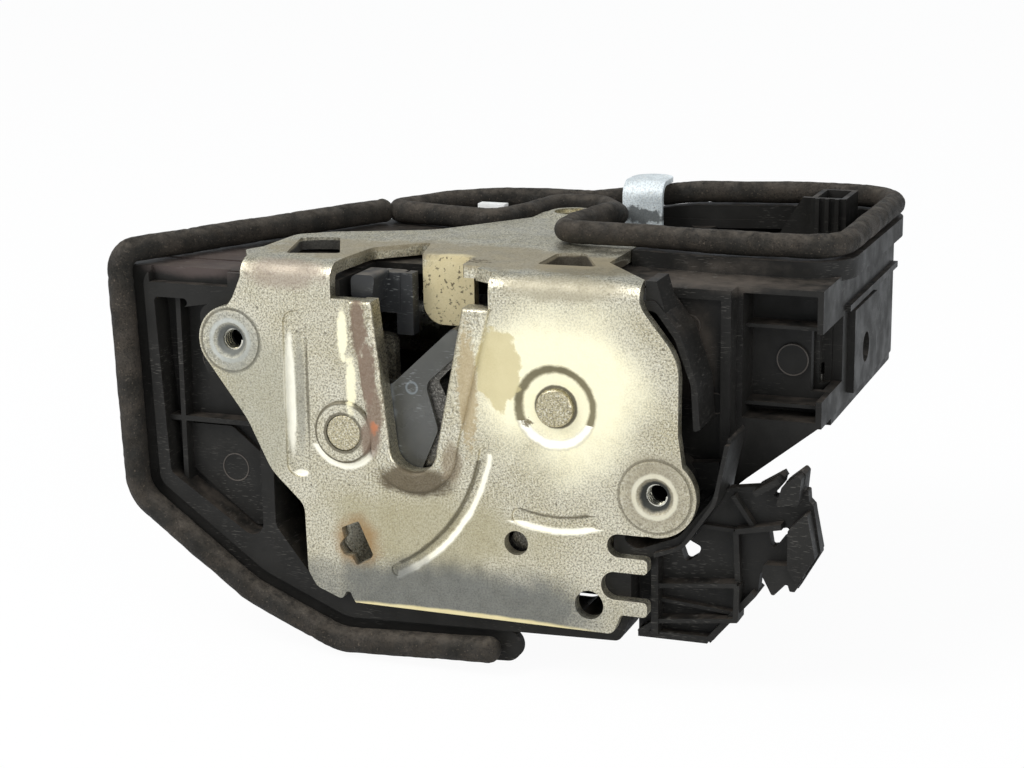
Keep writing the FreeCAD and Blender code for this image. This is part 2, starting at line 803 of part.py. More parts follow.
def outside_lever():
    """Lever of the outside handle, with a slot for the release lever's stud and an eye for the rod clip."""
    y = outer_lever_front
    tail = release_tail()
    eye = (outside_pin[0] - outside_arm_reach * 0.9, outside_pin[1] + outside_arm_reach * 0.436)
    body = joined([
        stadium(outside_pin, eye, 3.6, y, lever_thick),
        stadium(outside_pin, tail, 3.8, y, lever_thick),
        disc(outside_pin, lever_hub_radius, y, lever_thick),
    ])
    body = body.cut(disc(eye, 1.8, y - 1, lever_thick + 2))
    body = body.cut(slot_cut(tail, outside_pin, lever_stud_radius + 0.25, y, lever_thick))
    return body.cut(disc(outside_pin, lever_pin_radius + lever_gap, y - 1, lever_thick + 2))


def lever_rivet(centre, lever_y):
    """Lever pin riveted in the rear plate: foot, shoulder, bearing and flat head."""
    shoulder_end = lever_y - 0.2
    foot = disc(centre, lever_pin_radius - 0.5, back_front, back_thick)
    shoulder = disc(centre, lever_pin_radius + 1.0, back_rear, shoulder_end - back_rear)
    shaft = disc(centre, lever_pin_radius, shoulder_end, lever_thick + 0.4)
    head = disc(centre, lever_pin_radius + 1.4, lever_y + lever_thick + 0.2, 1.2)
    return joined([foot, shoulder, shaft, head])


def edge_seal_route():
    """Middle line of the edge seal round the front of the case and back over the deck."""
    return [
        (Vec(19.0, seal_y, -44.2), 0),
        (Vec(-20.5, seal_y, -46.4), 14),
        (Vec(-43.0, seal_y, -36.8), 20),
        (Vec(-71.8, seal_y, -15.6), 9),
        (Vec(corner_x, seal_y, edge_deck_z), 4.4),
        (Vec(joint[0] + 1.0, joint[1] + 1.5, edge_deck_z), 0),
    ]


def edge_seal():
    """Foam cord in the front groove of the case, butted slantwise against the loop seal."""
    route = edge_seal_route()
    body = tube(route, edge_seal_radius)
    body = body.fuse(Part.makeSphere(edge_seal_radius, route[0][0]))
    reach = loop_seal_radius + seal_gap + 0.05
    along = Vec(0.985, -0.17, 0)
    away = Vec(-0.17, -0.985, 0)
    corner = Vec(joint[0], joint[1], 0) + away * reach
    face = [corner - along * 40, corner + along * 40, corner + along * 40 - away * 30, corner - along * 40 - away * 30]
    return body.cut(slab([(p.x, p.y) for p in face], plan(deck_top - 5), 20))


def rim_route():
    """Plan points of the loop seal where it lies on the flange and the raised rim: x, y, bend radius."""
    right = right_face + 0.1
    return [(40.0, 37.6, 20), (57.0, 35.0, 30), (right - 0.3, 35.0, 9), (right, 103.5, 12),
            (right_face - 20.5, 106.8, 40), (36.0, 100.0, 20), (9.0, 100.0, 15)]


def loop_seal():
    """Closed foam cord round the flange's screw tab and the well."""
    inner = [
        (joint[0], joint[1], loop_deck_z, 4.0),
        (-5.8, 65.6, loop_deck_z, 5.0),
        (-1.4, 78.0, loop_deck_z, 12.0),
        (1.2, 92.4, loop_deck_z, 6.0),
        (13.0, 92.8, loop_deck_z, 6.0),
        (20.4, 82.5, loop_deck_z, 12.0),
        (24.4, 64.0, loop_rim_z, 16.0),
        (21.2, 48.0, loop_rim_z, 7.0),
        (21.2, 37.2, loop_rim_z, 3.8),
    ]
    outer = [(x, y, loop_rim_z, r) for x, y, r in rim_route()]
    outer[-1] = (9.0, 100.0, loop_deck_z, 15)
    left = [(-17.0, 97.5, loop_deck_z, 14.0), (-27.0, 88.5, loop_deck_z, 14.0)]
    points = [(Vec(x, y, z), r) for x, y, z, r in inner + outer + left]
    edges = rounded_path(points, True)
    half = len(edges) // 2
    runs = []
    for run in (edges[:half], edges[half:]):
        path = Part.Wire(run)
        first = path.OrderedEdges[0]
        start = first.valueAt(first.FirstParameter)
        ring = Part.Wire(Part.makeCircle(loop_seal_radius, start, first.tangentAt(first.FirstParameter)))
        runs.append(path.makePipeShell([ring], True, False))
    return runs[0].fuse(runs[1])


def front_line():
    """Edge seal's line in the plane of the bracket, as an open outline (x, z)."""
    points = edge_seal_route()[:5]
    line = [(p.x, p.z, r) for p, r in points]
    line[-1] = (line[-1][0], case_top, 0)
    return line


def offset_line(line, distance):
    """Move an open outline sideways to its left; ends keep their place along it."""
    start = line[0]
    end = line[-1]
    beyond = [(start[0] + 50, start[1]), (end[0], end[1] + 50)]
    closed = [beyond[0]] + list(line) + [beyond[1]]
    return inset(closed, distance)[1:-1]


def case_outline(grow=0):
    """Outline of the latch case seen from the front: beside the seal, then round the ear and up."""
    reach = edge_seal_radius + seal_gap
    beside = offset_line([(x, z, r) for x, z, r in front_line()], -reach - seal_groove)
    right = [
        (54.4, case_top, 2),
        (60.0, 30.5, 8),
        (63.6, 20.0, 8),
        (64.2, 11.0, 1),
        (71.2, 8.8, 1),
        (68.4, -5.3, 8),
        (60.9, -16.2, 6),
        (49.0, -20.6, 2),
        (49.0, -33.0, 2),
        (46.5, beside[0][1], 2),
    ]
    beside[-1] = beside[-1][:2] + (4.0,)
    outline = right + beside[1:]
    outline = list(reversed(outline))
    return inset(outline, -grow) if grow else outline


def cavity_outline():
    """Room for the catch and the pawl inside the case."""
    return [
        (-37.2, 31.0, 4), (-37.2, -21.0, 4), (-27.0, -34.2, 4), (38.0, -34.2, 4),
        (45.0, -20.0, 4), (45.0, 28.0, 4), (38.0, 33.5, 4), (-30.0, 33.5, 4),
    ]


def pocket_outline():
    """Open pocket at the left of the case."""
    return [
        (-66.2, case_top - 6.6, 1), (-64.0, -10.5, 2), (-40.4, -26.4, 3), (-40.4, 10.0, 3),
                (-53.5, 14.0, 3),
        (-54.5, 30.0, 3), (-47.0, case_top - 6.6, 1),
    ]


def case_groove():
    """Lip round the front of the case that backs the edge seal."""
    reach = edge_seal_radius + seal_lip
    line = front_line()
    outer = offset_line(line, reach)
    inner = offset_line(line, -reach - seal_groove - 3.0)
    flange = slab(outer + list(reversed(inner)), front(seal_flange_front), seal_flange_thick)
    end = disc(line[0][:2], reach, seal_flange_front, seal_flange_thick)
    above = block(-100, 0, case_top - 1.0, 45, 20, 20)
    return flange.fuse(end).cut(above)


def latch_case():
    """Moulding that holds the catch and the pawl and closes the left of the lock."""
    depth = back_rear - plate_thick
    body = slab(case_outline(), front(plate_thick), depth)
    body = body.fuse(case_groove())
    body = body.cut(slab(cavity_outline(), front(plate_thick - 1), depth + 2))
    body = body.cut(slab(pocket_outline(), front(plate_thick - 1), pocket_floor - plate_thick + 1))
    shelf = slab(housing_plan(), plan(deck_under), 2.0).common(block(-80, seal_flange_front, 30, 45, 10, 20))
    body = body.fuse(shelf)
    ledge = slab([(-67.4, case_top + 1), (-67.2, case_top - 3.2), (-47.0, case_top - 3.2),
            (-47.0, case_top + 1)],
                 front(plate_thick - 1), 3.4)
    top_gap = block(-19.0, plate_thick - 1, 20.0, 36.5, depth + 2, case_top)
    body = body.cut(ledge).cut(top_gap)
    right_recess = [(50.5, -17.6, 3), (59.6, -13.9, 5), (67.2, -4.6, 7), (70.3, 8.0, 1), (70.8, 16.0),
                    (64.3, 16.0), (64.3, 10.6), (62.8, 9.8, 0.5),
                    (62.2, 20.0, 7), (58.6, 29.8, 7), (54.0, 36.0, 2), (47.5, 34.0, 2), (47.5, -16.0, 2)]
    body = body.cut(slab(right_recess, front(plate_thick - 1), depth + 2))
    wall_band = slab(case_outline(), front(ear_wall_front), plate_thick - ear_wall_front)
    wall_band = wall_band.cut(slab(case_outline(-ear_wall), front(0), 5))
    wall_band = wall_band.common(block(54.6, 0, -19.0, 20, 5, 27.0))
    lip = slab([(52.1, case_top - 8), (58.0, case_top - 8), (54.4, flange_top), (52.1, flange_top)],
               front(plate_thick + 0.4), 9.0)
    lip = lip.cut(slab(inset(right_recess, 0), front(plate_thick - 1), depth + 2))
    body = joined([body, wall_band, lip])
    for centre in (m6_left, m6_right):
        boss = disc(centre, m6_burr_radius + 2.2, plate_thick, depth)
        body = body.fuse(boss).cut(disc(centre, m6_burr_radius + 0.2, plate_thick - 1, m6_burr_length + 4))
        body = body.cut(disc(centre, m6_minor_radius + 0.6, plate_thick, depth + 1))
    body = body.cut(disc(pin_hole, pin_hole_radius + 0.5, plate_thick - 1, depth + 2))
    bridge = slab([(46.0, -1.0), (46.0, -8.0), (66.0, -5.0), (66.0, 1.0)], front(back_rear - 3.0), 3.0)
    body = body.fuse(bridge.cut(disc(m6_right, m6_minor_radius + 0.6, 0, 30)))
    rib_front = plate_thick + 2.2
    pocket = slab(pocket_outline(), front(0), 20)
    ribs = [
        block(-61.8, rib_front, -13.0, 1.2, pocket_floor - rib_front + 0.5, case_top + 6.4).common(pocket),
        block(-66.0, rib_front, 1.6, 22.0, pocket_floor - rib_front + 0.5, 1.2).common(pocket),
    ]
    pad = [(-63.4, 0.4, 2), (-61.8, -9.6, 2), (-42.0, -25.0, 2), (-42.0, -6.0, 2), (-50.0, 0.4, 2)]
    pad_plate = slab(pad, front(pocket_floor - 1.2), 1.7)
    return joined([body, pad_plate] + ribs)


def bumper():
    """Rubber stop at the mouth, with its ribbed inner column."""
    head = slab([(-17.2, 39.0, 1.5), (-17.2, 34.0, 1), (-12.4, 31.4, 1), (-11.4, 39.0, 1)], front(5.0), 8.6)
    column = block(-15.2, 13.0, 29.0, 6.4, 4.2, 9.2)
    ribs = [block(-9.8 + 2.3 * i, 13.2, 24.0, 1.7, 3.4, 14.2) for i in range(2)]
    bridge = block(-9.8, 13.2, 24.0, 4.0, 1.4, 14.2)
    return joined([head, column, bridge] + ribs)


def housing_front():
    """Front outline of the housing behind the latch, (x, z)."""
    return [
        (-64.0, deck_top), (-64.0, -9.0, 3), (-37.4, -27.6, 4), (-19.0, -33.6, 4), (48.0, -33.6, 3),
        (right_face - 30.5, -17.0, 6), (right_face - 16.5, -4.6, 3), (right_face, housing_floor + 0.6, 1.5),
        (right_face, deck_top),
    ]


def housing_plan(shrink=0):
    """Plan outline of the housing, (x, y): beside the seals, then the straight right wall."""
    grow = max(edge_seal_radius, loop_seal_radius) + seal_lip
    line = [
        (corner_x, 1.0), (right_face - grow, 1.0), (right_face - grow, 103.5 - grow + loop_seal_radius, 9),
        (right_face - 20.5, 106.8, 30), (36.0, 100.0, 20), (-17.0, 97.5, 12), (-27.0, 88.5, 12),
        (joint[0], joint[1], 12),
    ]
    return inset(line, shrink - grow)


def rim_band(shrink):
    """Plan outline of the rim's line, moved inwards."""
    route = rim_route()
    return inset([(route[-1][0], route[0][1])] + route, shrink)


def well_outline_cut(low, height):
    """Well between the seals, as a solid to cut from the deck."""
    well = slab(rim_band(rim_width / 2 + 0.2), plan(low), height)
    guard = [(-20.0, 20.0), (29.6, 20.0), (29.6, 73.0), (26.2, 84.0), (strap_left - 1.0, strap_y - 1.5),
             (strap_left - 1.0, 120.0), (-20.0, 120.0)]
    return well.cut(slab(guard, plan(low - 1), height + 2))


def housing_shell():
    """Outer shell: latch bay in front, actuator bay behind."""
    shell = slab(housing_front(), front(back_rear), shell_back - back_rear)
    corner = block(box_left, back_rear - 1, -60, 60, box_face - back_rear + 1, 140)
    room_corner = block(box_left - wall, 0, -60, 60, box_face + wall, 140)
    before = block(-200, -50, -100, 400, 50 + back_rear, 300)
    tub = slab(housing_plan(), plan(housing_floor), deck_top - housing_floor).cut(before)
    front_room = slab(inset(housing_front(), wall), front(back_rear - 1), shell_back - back_rear + 1 - wall)
    rear_room = slab(housing_plan(wall), plan(housing_floor - 1), deck_under - housing_floor + 1)
    rear_room = rear_room.cut(block(-200, -50, -100, 400, 50 + back_rear + wall, 300))
    body = shell.fuse(tub).cut(corner)
    return body.cut(front_room.cut(room_corner)).cut(rear_room.cut(room_corner))


def housing_rim():
    """Raised rim under the loop seal, rising from the deck behind the screw tab."""
    low = deck_top - 1
    ring = slab(rim_band(-rim_width / 2), plan(low), rim_top - low)
    ring = ring.cut(slab(rim_band(rim_width / 2), plan(low - 1), 20))
    route = rim_route()
    start = route[-1][0]
    rise_end = route[-2][0]
    wedge_outline = [
        (start + 1, deck_top - 2), (start + 1, deck_top), (rise_end, rim_top), (rise_end, deck_top - 2),
    ]
    wedge = slab(wedge_outline, front(60.0), 80.0)
    right = block(rise_end, 0, deck_top - 2, 80, 140, 20)
    ring = ring.common(wedge.fuse(right))
    ring = ring.cut(block(-60, 0, deck_top - 3, 98.9, 90, 30))
    return ring.cut(block(-60, 0, deck_top - 3, 80, route[-1][1] - rim_width / 2 - 0.1, 30))


def box_room():
    """Room inside the recessed pocket, open to the front."""
    height = deck_top - housing_floor - 2 * box_wall
    return block(box_left + box_wall, box_face - 1, housing_floor + box_wall, box_width - 2 * box_wall,
                 box_recess + 1, height)


def box_pocket():
    """Recessed pocket in the housing's front right face, with ribs and a round boss."""
    low = housing_floor
    rim = block(box_left, box_face, low, box_width, box_recess + wall, deck_top - low)
    rim = rim.cut(box_room())
    ribs = [block(box_left + 1, box_face + 3.0, z, box_width - 2, box_recess - 2, 0.8) for z in (29.0, 11.6)]
    boss = disc((box_left + box_width / 2 + 1, 21.0), 3.6, box_face + box_recess - 0.8, 1.6)
    return joined([rim, boss] + ribs)


def deck_posts():
    """Screw posts, gear axle, motor saddle, slide guide and shelves that hang in the housing."""
    pieces = []
    for place in cover_screw_places():
        pillar = post(place, 3.2, housing_floor, deck_under - housing_floor + 0.5)
        pieces.append(pillar.cut(post(place, screw_radius, housing_floor - 1, screw_length + 1)))
    axle_low = wheel_low - 1.8
    pieces.append(post((wheel_x, wheel_y), axle_radius, axle_low, deck_under - axle_low + 0.5))
    shoulder = pinion_high + 0.3
    pieces.append(post((wheel_x, wheel_y), axle_radius + 1.5, shoulder, deck_under - shoulder + 0.5))
    saddle_low = motor_z + motor_flat
    pieces.append(block(motor_left + 4, motor_y - 6, saddle_low, motor_length - 8, 12,
            deck_under - saddle_low + 0.5))
    back = rack_line + rack_depth + 1.0
    foot_low = pinion_low + 0.5
    guide = block(2.0, back, foot_low, 20.0, 2.0, deck_under - foot_low + 0.5)
    foot = block(2.0, rack_line + 2.4, foot_low, 20.0, back - rack_line - 2.0, pinion_lift - 0.8)
    pieces.append(guide.fuse(foot))
    back_wall = rim_route()[-1][1] + rim_width
    pieces.append(block(strap_left - 1.4, strap_y - 1.0, strap_foot_z - 3.0, strap_width + 2.8,
                        back_wall - strap_y, 3.0))
    return pieces


def cover_screw_places():
    """Plan positions of the cover's screws."""
    right = right_face - 5.5
    return [(-47.0, 38.0), (-24.0, 80.0), (38.0, 98.4), (right, 76.0), (right, 40.0)]


def main_housing():
    """Plastic housing of the lock."""
    body = housing_shell()
    panel_left = box_left - 20.9
    panel = slab([(box_left, deck_top), (box_left, -4.5), (box_left - 13.5, -15.0), (panel_left, -15.0),
                  (panel_left, deck_top)], front(panel_y), 2.0)
    marks = [disc(place, 2.4, panel_y - 0.2, 1.0) for place in ((box_left - 9.5, 30.0), (box_left - 3.5, 13.0))]
    body = joined([body.cut(box_room()), housing_rim(), box_pocket(), panel] + marks)
    body = body.cut(well_outline_cut(deck_under - 1, 12.0))
    inside = slab(housing_plan(wall / 2), plan(-60), 120)
    body = joined([body] + [piece.common(inside) for piece in deck_posts()])
    notch_low = side_hole_z - 4.0
    body = body.cut(block(right_face - 4.5, box_face - 1, notch_low, 9.0, 21.0, notch_height))
    tab = block(right_face - 0.5, side_hole_y - 12.5, side_hole_z - 8.0, 2.1, 24.0, 19.0)
    ridge = block(right_face - 0.5, box_face + 22, side_hole_z + 11.5, 1.7, 54.0, 1.4)
    body = body.fuse(tab).fuse(ridge)
    side_hole = Vec(right_face - 4, side_hole_y, side_hole_z)
    body = body.cut(Part.makeCylinder(side_hole_radius, 8, side_hole, X_AXIS))
    mouth_rear = tongue_y + plate_thick + 4.0
    body = body.cut(block(-19.0, back_rear - 1, deck_under - 1, 36.5, mouth_rear - back_rear, 8))
    slot_left = tab_left - slide_travel - 0.6
    slot = block(slot_left, tab_y - 0.4, deck_under - 1, tab_width + slide_travel + 1.2,
            tab_thick + 0.8, wall + 4)
    return body.cut(slot).removeSplitter()


def housing_cover():
    """Flat cover that closes the actuator bay from below and carries the inside lever's post."""
    body = slab(housing_plan(0.4), plan(housing_floor - cover_thick), cover_thick)
    body = body.cut(block(-200, -50, -10, 500, 50 + shell_back + 0.3, 40))
    for place in cover_screw_places():
        body = body.cut(post(place, screw_radius + 0.2, 0, 20))
    top = inside_lever_z + inside_lever_thick
    stem = post(inside_pin, axle_radius + 2.5, housing_floor - 0.5, inside_lever_z - housing_floor + 0.3)
    bearing = post(inside_pin, axle_radius, housing_floor, top + 2.0 - housing_floor)
    return joined([body, stem, bearing])


def cover_screw():
    """Self-tapping screws of the cover, all alike."""
    low = housing_floor - cover_thick
    screws = []
    for place in cover_screw_places():
        head = post(place, screw_head_radius, low - 2.0, 2.0)
        head = head.cut(post(place, 1.2, low - 2.1, 1.2))
        screws.append(head.fuse(post(place, screw_radius, low - 0.5, screw_length)))
    return Part.makeCompound(screws)


def retaining_clip():
    """Washers that hold the gear on its axle and the inside lever on its post, both alike."""
    places = (
        ((wheel_x, wheel_y), wheel_low - 0.3 - clip_thick),
        (inside_pin, inside_lever_z + inside_lever_thick + 0.3),
    )
    washers = []
    for centre, low in places:
        ring = post(centre, clip_radius, low, clip_thick)
        washers.append(ring.cut(post(centre, axle_radius + running_gap, low - 1, clip_thick + 2)))
    return Part.makeCompound(washers)


def lock_motor():
    """Small motor with flats, its end boss and a bore for the shaft."""
    body = Part.makeCylinder(motor_radius, motor_length, Vec(motor_left, motor_y, motor_z), X_AXIS)
    keep = block(motor_left - 1, motor_y - 20, motor_z - motor_flat, motor_length + 2, 40, 2 * motor_flat)
    body = body.common(keep)
    right = motor_left + motor_length
    boss = Part.makeCylinder(3.0, 1.6, Vec(right, motor_y, motor_z), X_AXIS)
    bore = Part.makeCylinder(shaft_radius + running_gap, 8, Vec(right - 4, motor_y, motor_z), X_AXIS)
    return body.fuse(boss).cut(bore)


def worm():
    """Steel shaft with the worm's thread."""
    pitch = math.pi * gear_module
    start_x = wheel_x - pitch / 4 - pitch * (worm_turns // 2)
    core = Part.makeCylinder(worm_radius - worm_depth - mesh_gap, pitch * (worm_turns + 0.6),
                             Vec(start_x - pitch * 0.3, motor_y, motor_z), X_AXIS)
    shaft_left = motor_left + motor_length - 3.5
    shaft_right = bearing_x + bearing_thick + 0.6
    shaft = Part.makeCylinder(shaft_radius, shaft_right - shaft_left, Vec(shaft_left, motor_y, motor_z),
            X_AXIS)
    helix = Part.makeHelix(pitch, pitch * worm_turns, worm_radius)
    root = worm_radius - worm_depth - mesh_gap - 0.3
    tip = worm_radius + worm_depth
    corners = [(root, -0.6), (tip, -0.28), (tip, 0.28), (root, 0.6)]
    profile = Part.makePolygon([Vec(r, 0, z) for r, z in corners] + [Vec(root, 0, -0.6)])
    thread = Part.Wire(helix.Edges).makePipeShell([profile], True, True)
    thread.rotate(Vec(0, 0, 0), Y_AXIS, 90)
    thread.translate(Vec(start_x, motor_y, motor_z))
    return joined([core, shaft, thread])


def toothed_disc(centre, teeth, pitch_radius, add, low, height, first_angle, share):
    """Gear with straight-sided teeth; share is a tooth's part of the pitch."""
    pitch = 2 * math.pi * pitch_radius / teeth
    root = pitch_radius - add * 1.25
    tip = pitch_radius + add
    half = pitch * share / 2
    tooth = [(root - 0.4, -half * 1.35), (tip, -half * 0.62), (tip, half * 0.62), (root - 0.4, half * 1.35)]
    blank = slab(tooth, plan(low), height)
    shapes = [post(centre, root, low, height)]
    for index in range(teeth):
        copy = blank.copy()
        copy.rotate(Vec(0, 0, 0), Z_AXIS, first_angle + 360.0 * index / teeth)
        copy.translate(Vec(centre[0], centre[1], 0))
        shapes.append(copy)
    return joined(shapes)


def worm_wheel():
    """Gear driven by the worm, with the pinion that moves the lock slide."""
    centre = (wheel_x, wheel_y)
    step = 360.0 / wheel_teeth
    wheel = toothed_disc(centre, wheel_teeth, wheel_radius, worm_depth, wheel_low, wheel_thick,
            -90 + step / 2, 0.42)
    dish = post(centre, wheel_radius - 3.2, wheel_low - 1, 1.8).cut(post(centre, axle_radius + 2.2, 0, 60))
    collar = post(centre, pinion_radius - pinion_module * 1.3, pinion_low - 0.2, pinion_lift + 0.4)
    pinion = toothed_disc(centre, pinion_teeth, pinion_radius, 0.8, pinion_low + pinion_lift,
            pinion_thick, 90, 0.38)
    body = joined([wheel.cut(dish), collar, pinion])
    return body.cut(post(centre, axle_radius + running_gap, 0, 60))


def lock_slide():
    """Rack driven by the pinion, with the tab that shows through the deck."""
    low = pinion_low + pinion_lift
    pitch = math.pi * pinion_module
    left = wheel_x - pitch * 2.6
    right = wheel_x + pitch * 6.6
    bar = block(tab_left, rack_line + 1.2, low, right - tab_left, rack_depth - 1.2, pinion_thick)
    half = pitch * 0.40 / 2
    tooth = [(-half * 1.3, 1.4), (-half * 0.65, -0.7), (half * 0.65, -0.7), (half * 1.3, 1.4)]
    shapes = [bar]
    for index in range(rack_teeth):
        offset = wheel_x + pitch * (index - 2 + 0.5)
        if left < offset < right:
            moved = [(offset + x, rack_line + y) for x, y in tooth]
            shapes.append(slab(list(reversed(moved)), plan(low), pinion_thick))
    shapes.append(block(tab_left, rack_line + 1.2, low, tab_width, tab_y + tab_thick - rack_line - 1.2,
            pinion_thick))
    shapes.append(block(tab_left, tab_y, low, tab_width, tab_thick, tab_top - low))
    return joined(shapes)


def worm_bearing():
    """Bracket that carries the free end of the worm's shaft."""
    low = motor_z - 4.0
    body = block(bearing_x, motor_y - 4.0, low, bearing_thick, 8.0, deck_under - low)
    bore = Part.makeCylinder(shaft_radius + running_gap, 10, Vec(bearing_x - 2, motor_y, motor_z), X_AXIS)
    return body.cut(bore)


def inside_lever():
    """Lever of the inside handle, in the well."""
    z = inside_lever_z
    end = polar(inside_pin, inside_lever_reach, 38.0)
    bar = stadium_plan(inside_pin, end, 4.0, z, inside_lever_thick)
    short = stadium_plan(inside_pin, polar(inside_pin, 11.0, 200.0), 3.6, z, inside_lever_thick)
    body = joined([bar, short, post(inside_pin, 7.0, z, inside_lever_thick)])
    body = body.cut(post(inside_pin, axle_radius + running_gap, z - 1, inside_lever_thick + 2))
    return body.cut(post(end, 2.0, z - 1, inside_lever_thick + 2))


def stadium_plan(start, end, radius, z, thick):
    """Rounded bar between two plan points."""
    dx = end[0] - start[0]
    dy = end[1] - start[1]
    length = math.hypot(dx, dy)
    nx = -dy / length * radius
    ny = dx / length * radius
    corners = [(start[0] + nx, start[1] + ny), (start[0] - nx, start[1] - ny),
               (end[0] - nx, end[1] - ny), (end[0] + nx, end[1] + ny)]
    return joined([slab(corners, plan(z), thick), post(start, radius, z, thick),
            post(end, radius, z, thick)])


def connector_socket():
    """Upright socket with keying ribs and a sloping side fin."""
    low = housing_floor
    body = block(socket_left, socket_front, low, socket_width, socket_length, socket_top - low)
    hollow = block(socket_left + socket_wall, socket_front + socket_wall, socket_floor,
                   socket_width - 2 * socket_wall, socket_length - 2 * socket_wall, socket_top)
    body = body.cut(hollow)
    ribs = [block(socket_left + 1.2 + 2.4 * i, socket_front - 0.9, socket_floor, 1.0, 1.4,
            socket_top - socket_floor)
            for i in range(3)]
    fin_y = socket_front + 6.0
    fin = slab([(socket_left - 16.0, low), (socket_left + 0.5, low), (socket_left + 0.5, socket_top - 1.0),
                (socket_left - 3.4, socket_top - 1.0), (socket_left - 16.0, 26.0)], front(fin_y), 1.6)
    return joined([body, fin] + ribs)


def connector_pins():
    """Terminals standing in the socket."""
    pins = []
    for column in range(terminal_columns):
        for row in range(terminal_rows):
            x = socket_left + socket_width / 2 + terminal_pitch * (row - (terminal_rows - 1) / 2)
            y = socket_front + socket_length / 2 + terminal_pitch * (column - (terminal_columns - 1) / 2)
            half = terminal_size / 2
            pins.append(block(x - half, y - half, socket_floor, terminal_size, terminal_size, 9.0))
    return Part.makeCompound(pins)


def steel_strap():
    """Bright strap from the bay up over the loop seal, with a round bend at its front."""
    right = strap_left + strap_width
    mid = strap_left + strap_width / 2
    route = rim_route()
    share = (right - route[-1][0]) / (route[-2][0] - route[-1][0])
    seal_top = loop_deck_z + (loop_rim_z - loop_deck_z) * share + loop_seal_radius
    top = seal_top + seal_gap
    upright = block(strap_left, strap_y, strap_foot_z, strap_width, strap_thick, top + strap_thick - strap_foot_z)
    foot = block(strap_left, strap_y, strap_foot_z, strap_width, 6.0, strap_thick)
    over = block(strap_left, strap_y, top, strap_width, strap_reach - strap_width / 2, strap_thick)
    end = post((mid, strap_end_y - strap_width / 2), strap_width / 2, top, strap_thick)
    body = joined([upright, foot, over, end])
    under = [e for e in body.Edges if e.BoundBox.ZLength < 1e-4 and abs(e.BoundBox.ZMin - top) < 1e-4
             and e.BoundBox.YLength < 1e-4 and abs(e.BoundBox.YMin - strap_y - strap_thick) < 1e-4]
    body = body.makeFillet(strap_bend - strap_thick, under)
    crown = [e for e in body.Edges if abs(e.BoundBox.ZMin - top - strap_thick) < 1e-4
             and abs(e.BoundBox.YMax - strap_y) < 1e-4]
    return body.makeFillet(strap_bend, crown)


def microswitch(place):
    """Sealed switch on the housing's inner wall, with its spring lever."""
    left, low = place
    back = shell_back - wall
    body = block(left, back - switch_depth, low, switch_length, switch_depth, switch_height)
    lever = block(left + 1.0, back - switch_depth + 1.0, low + switch_height, switch_length - 2.5, 3.0, 0.4)
    button = block(left + 3.0, back - switch_depth + 1.6, low + switch_height - 0.5, 1.6, 1.8, 0.9)
    return joined([body, lever, button])


def contact_track():
    """Copper conductors under the deck, from the motor towards the connector."""
    thick = 0.8
    low = deck_under - thick
    strips = [block(-16.0, 85.0, low, 32.0, 2.2, thick)]
    strips += [block(-16.0 + 8.0 * i, 80.0, low, 2.0, 6.0, thick) for i in range(4)]
    return joined(strips)


def bar_between(start, end, width, y, thick):
    """Square bar between two points of the bracket's plane."""
    dx = end[0] - start[0]
    dz = end[1] - start[1]
    length = math.hypot(dx, dz)
    nx = -dz / length * width / 2
    nz = dx / length * width / 2
    corners = [(start[0] + nx, start[1] + nz), (start[0] - nx, start[1] - nz),
               (end[0] - nx, end[1] - nz), (end[0] + nx, end[1] + nz)]
    return slab(corners, front(y), thick)


def bracket_outline():
    """Silhouette of the cable bracket: web, three clips and two teeth."""
    return [
        (49.0, -21.5), (49.0, -38.2), (64.8, -38.2, 0.5), (66.0, -38.9, 0.5), (76.0, -26.0, 1),
        (76.4, -22.0, 0.5), (77.6, -21.8, 0.5), (79.6, -25.8, 0.4), (80.4, -25.8, 0.4), (83.1, -22.8, 0.5),
        (83.6, -24.6, 0.4), (84.9, -24.6, 0.4), (89.6, -16.3, 0.5), (87.8, -5.8, 0.5), (86.8, -4.8, 0.4),
        (86.6, -2.4, 0.4), (85.5, -2.6, 0.3), (86.0, 1.0, 0.5), (85.0, 1.9, 0.5), (81.8, -0.8, 0.5),
        (80.0, -4.4, 0.3), (78.8, -4.4, 0.3), (81.2, -1.4, 0.4), (81.5, 0.2, 0.4), (80.4, 0.8, 0.4),
        (75.6, -2.6, 0.4), (69.0, -3.6), (62.5, -10.5), (61.5, -12.0, 1), (56.4, -16.2, 1), (52.4, -19.2, 1),
    ]


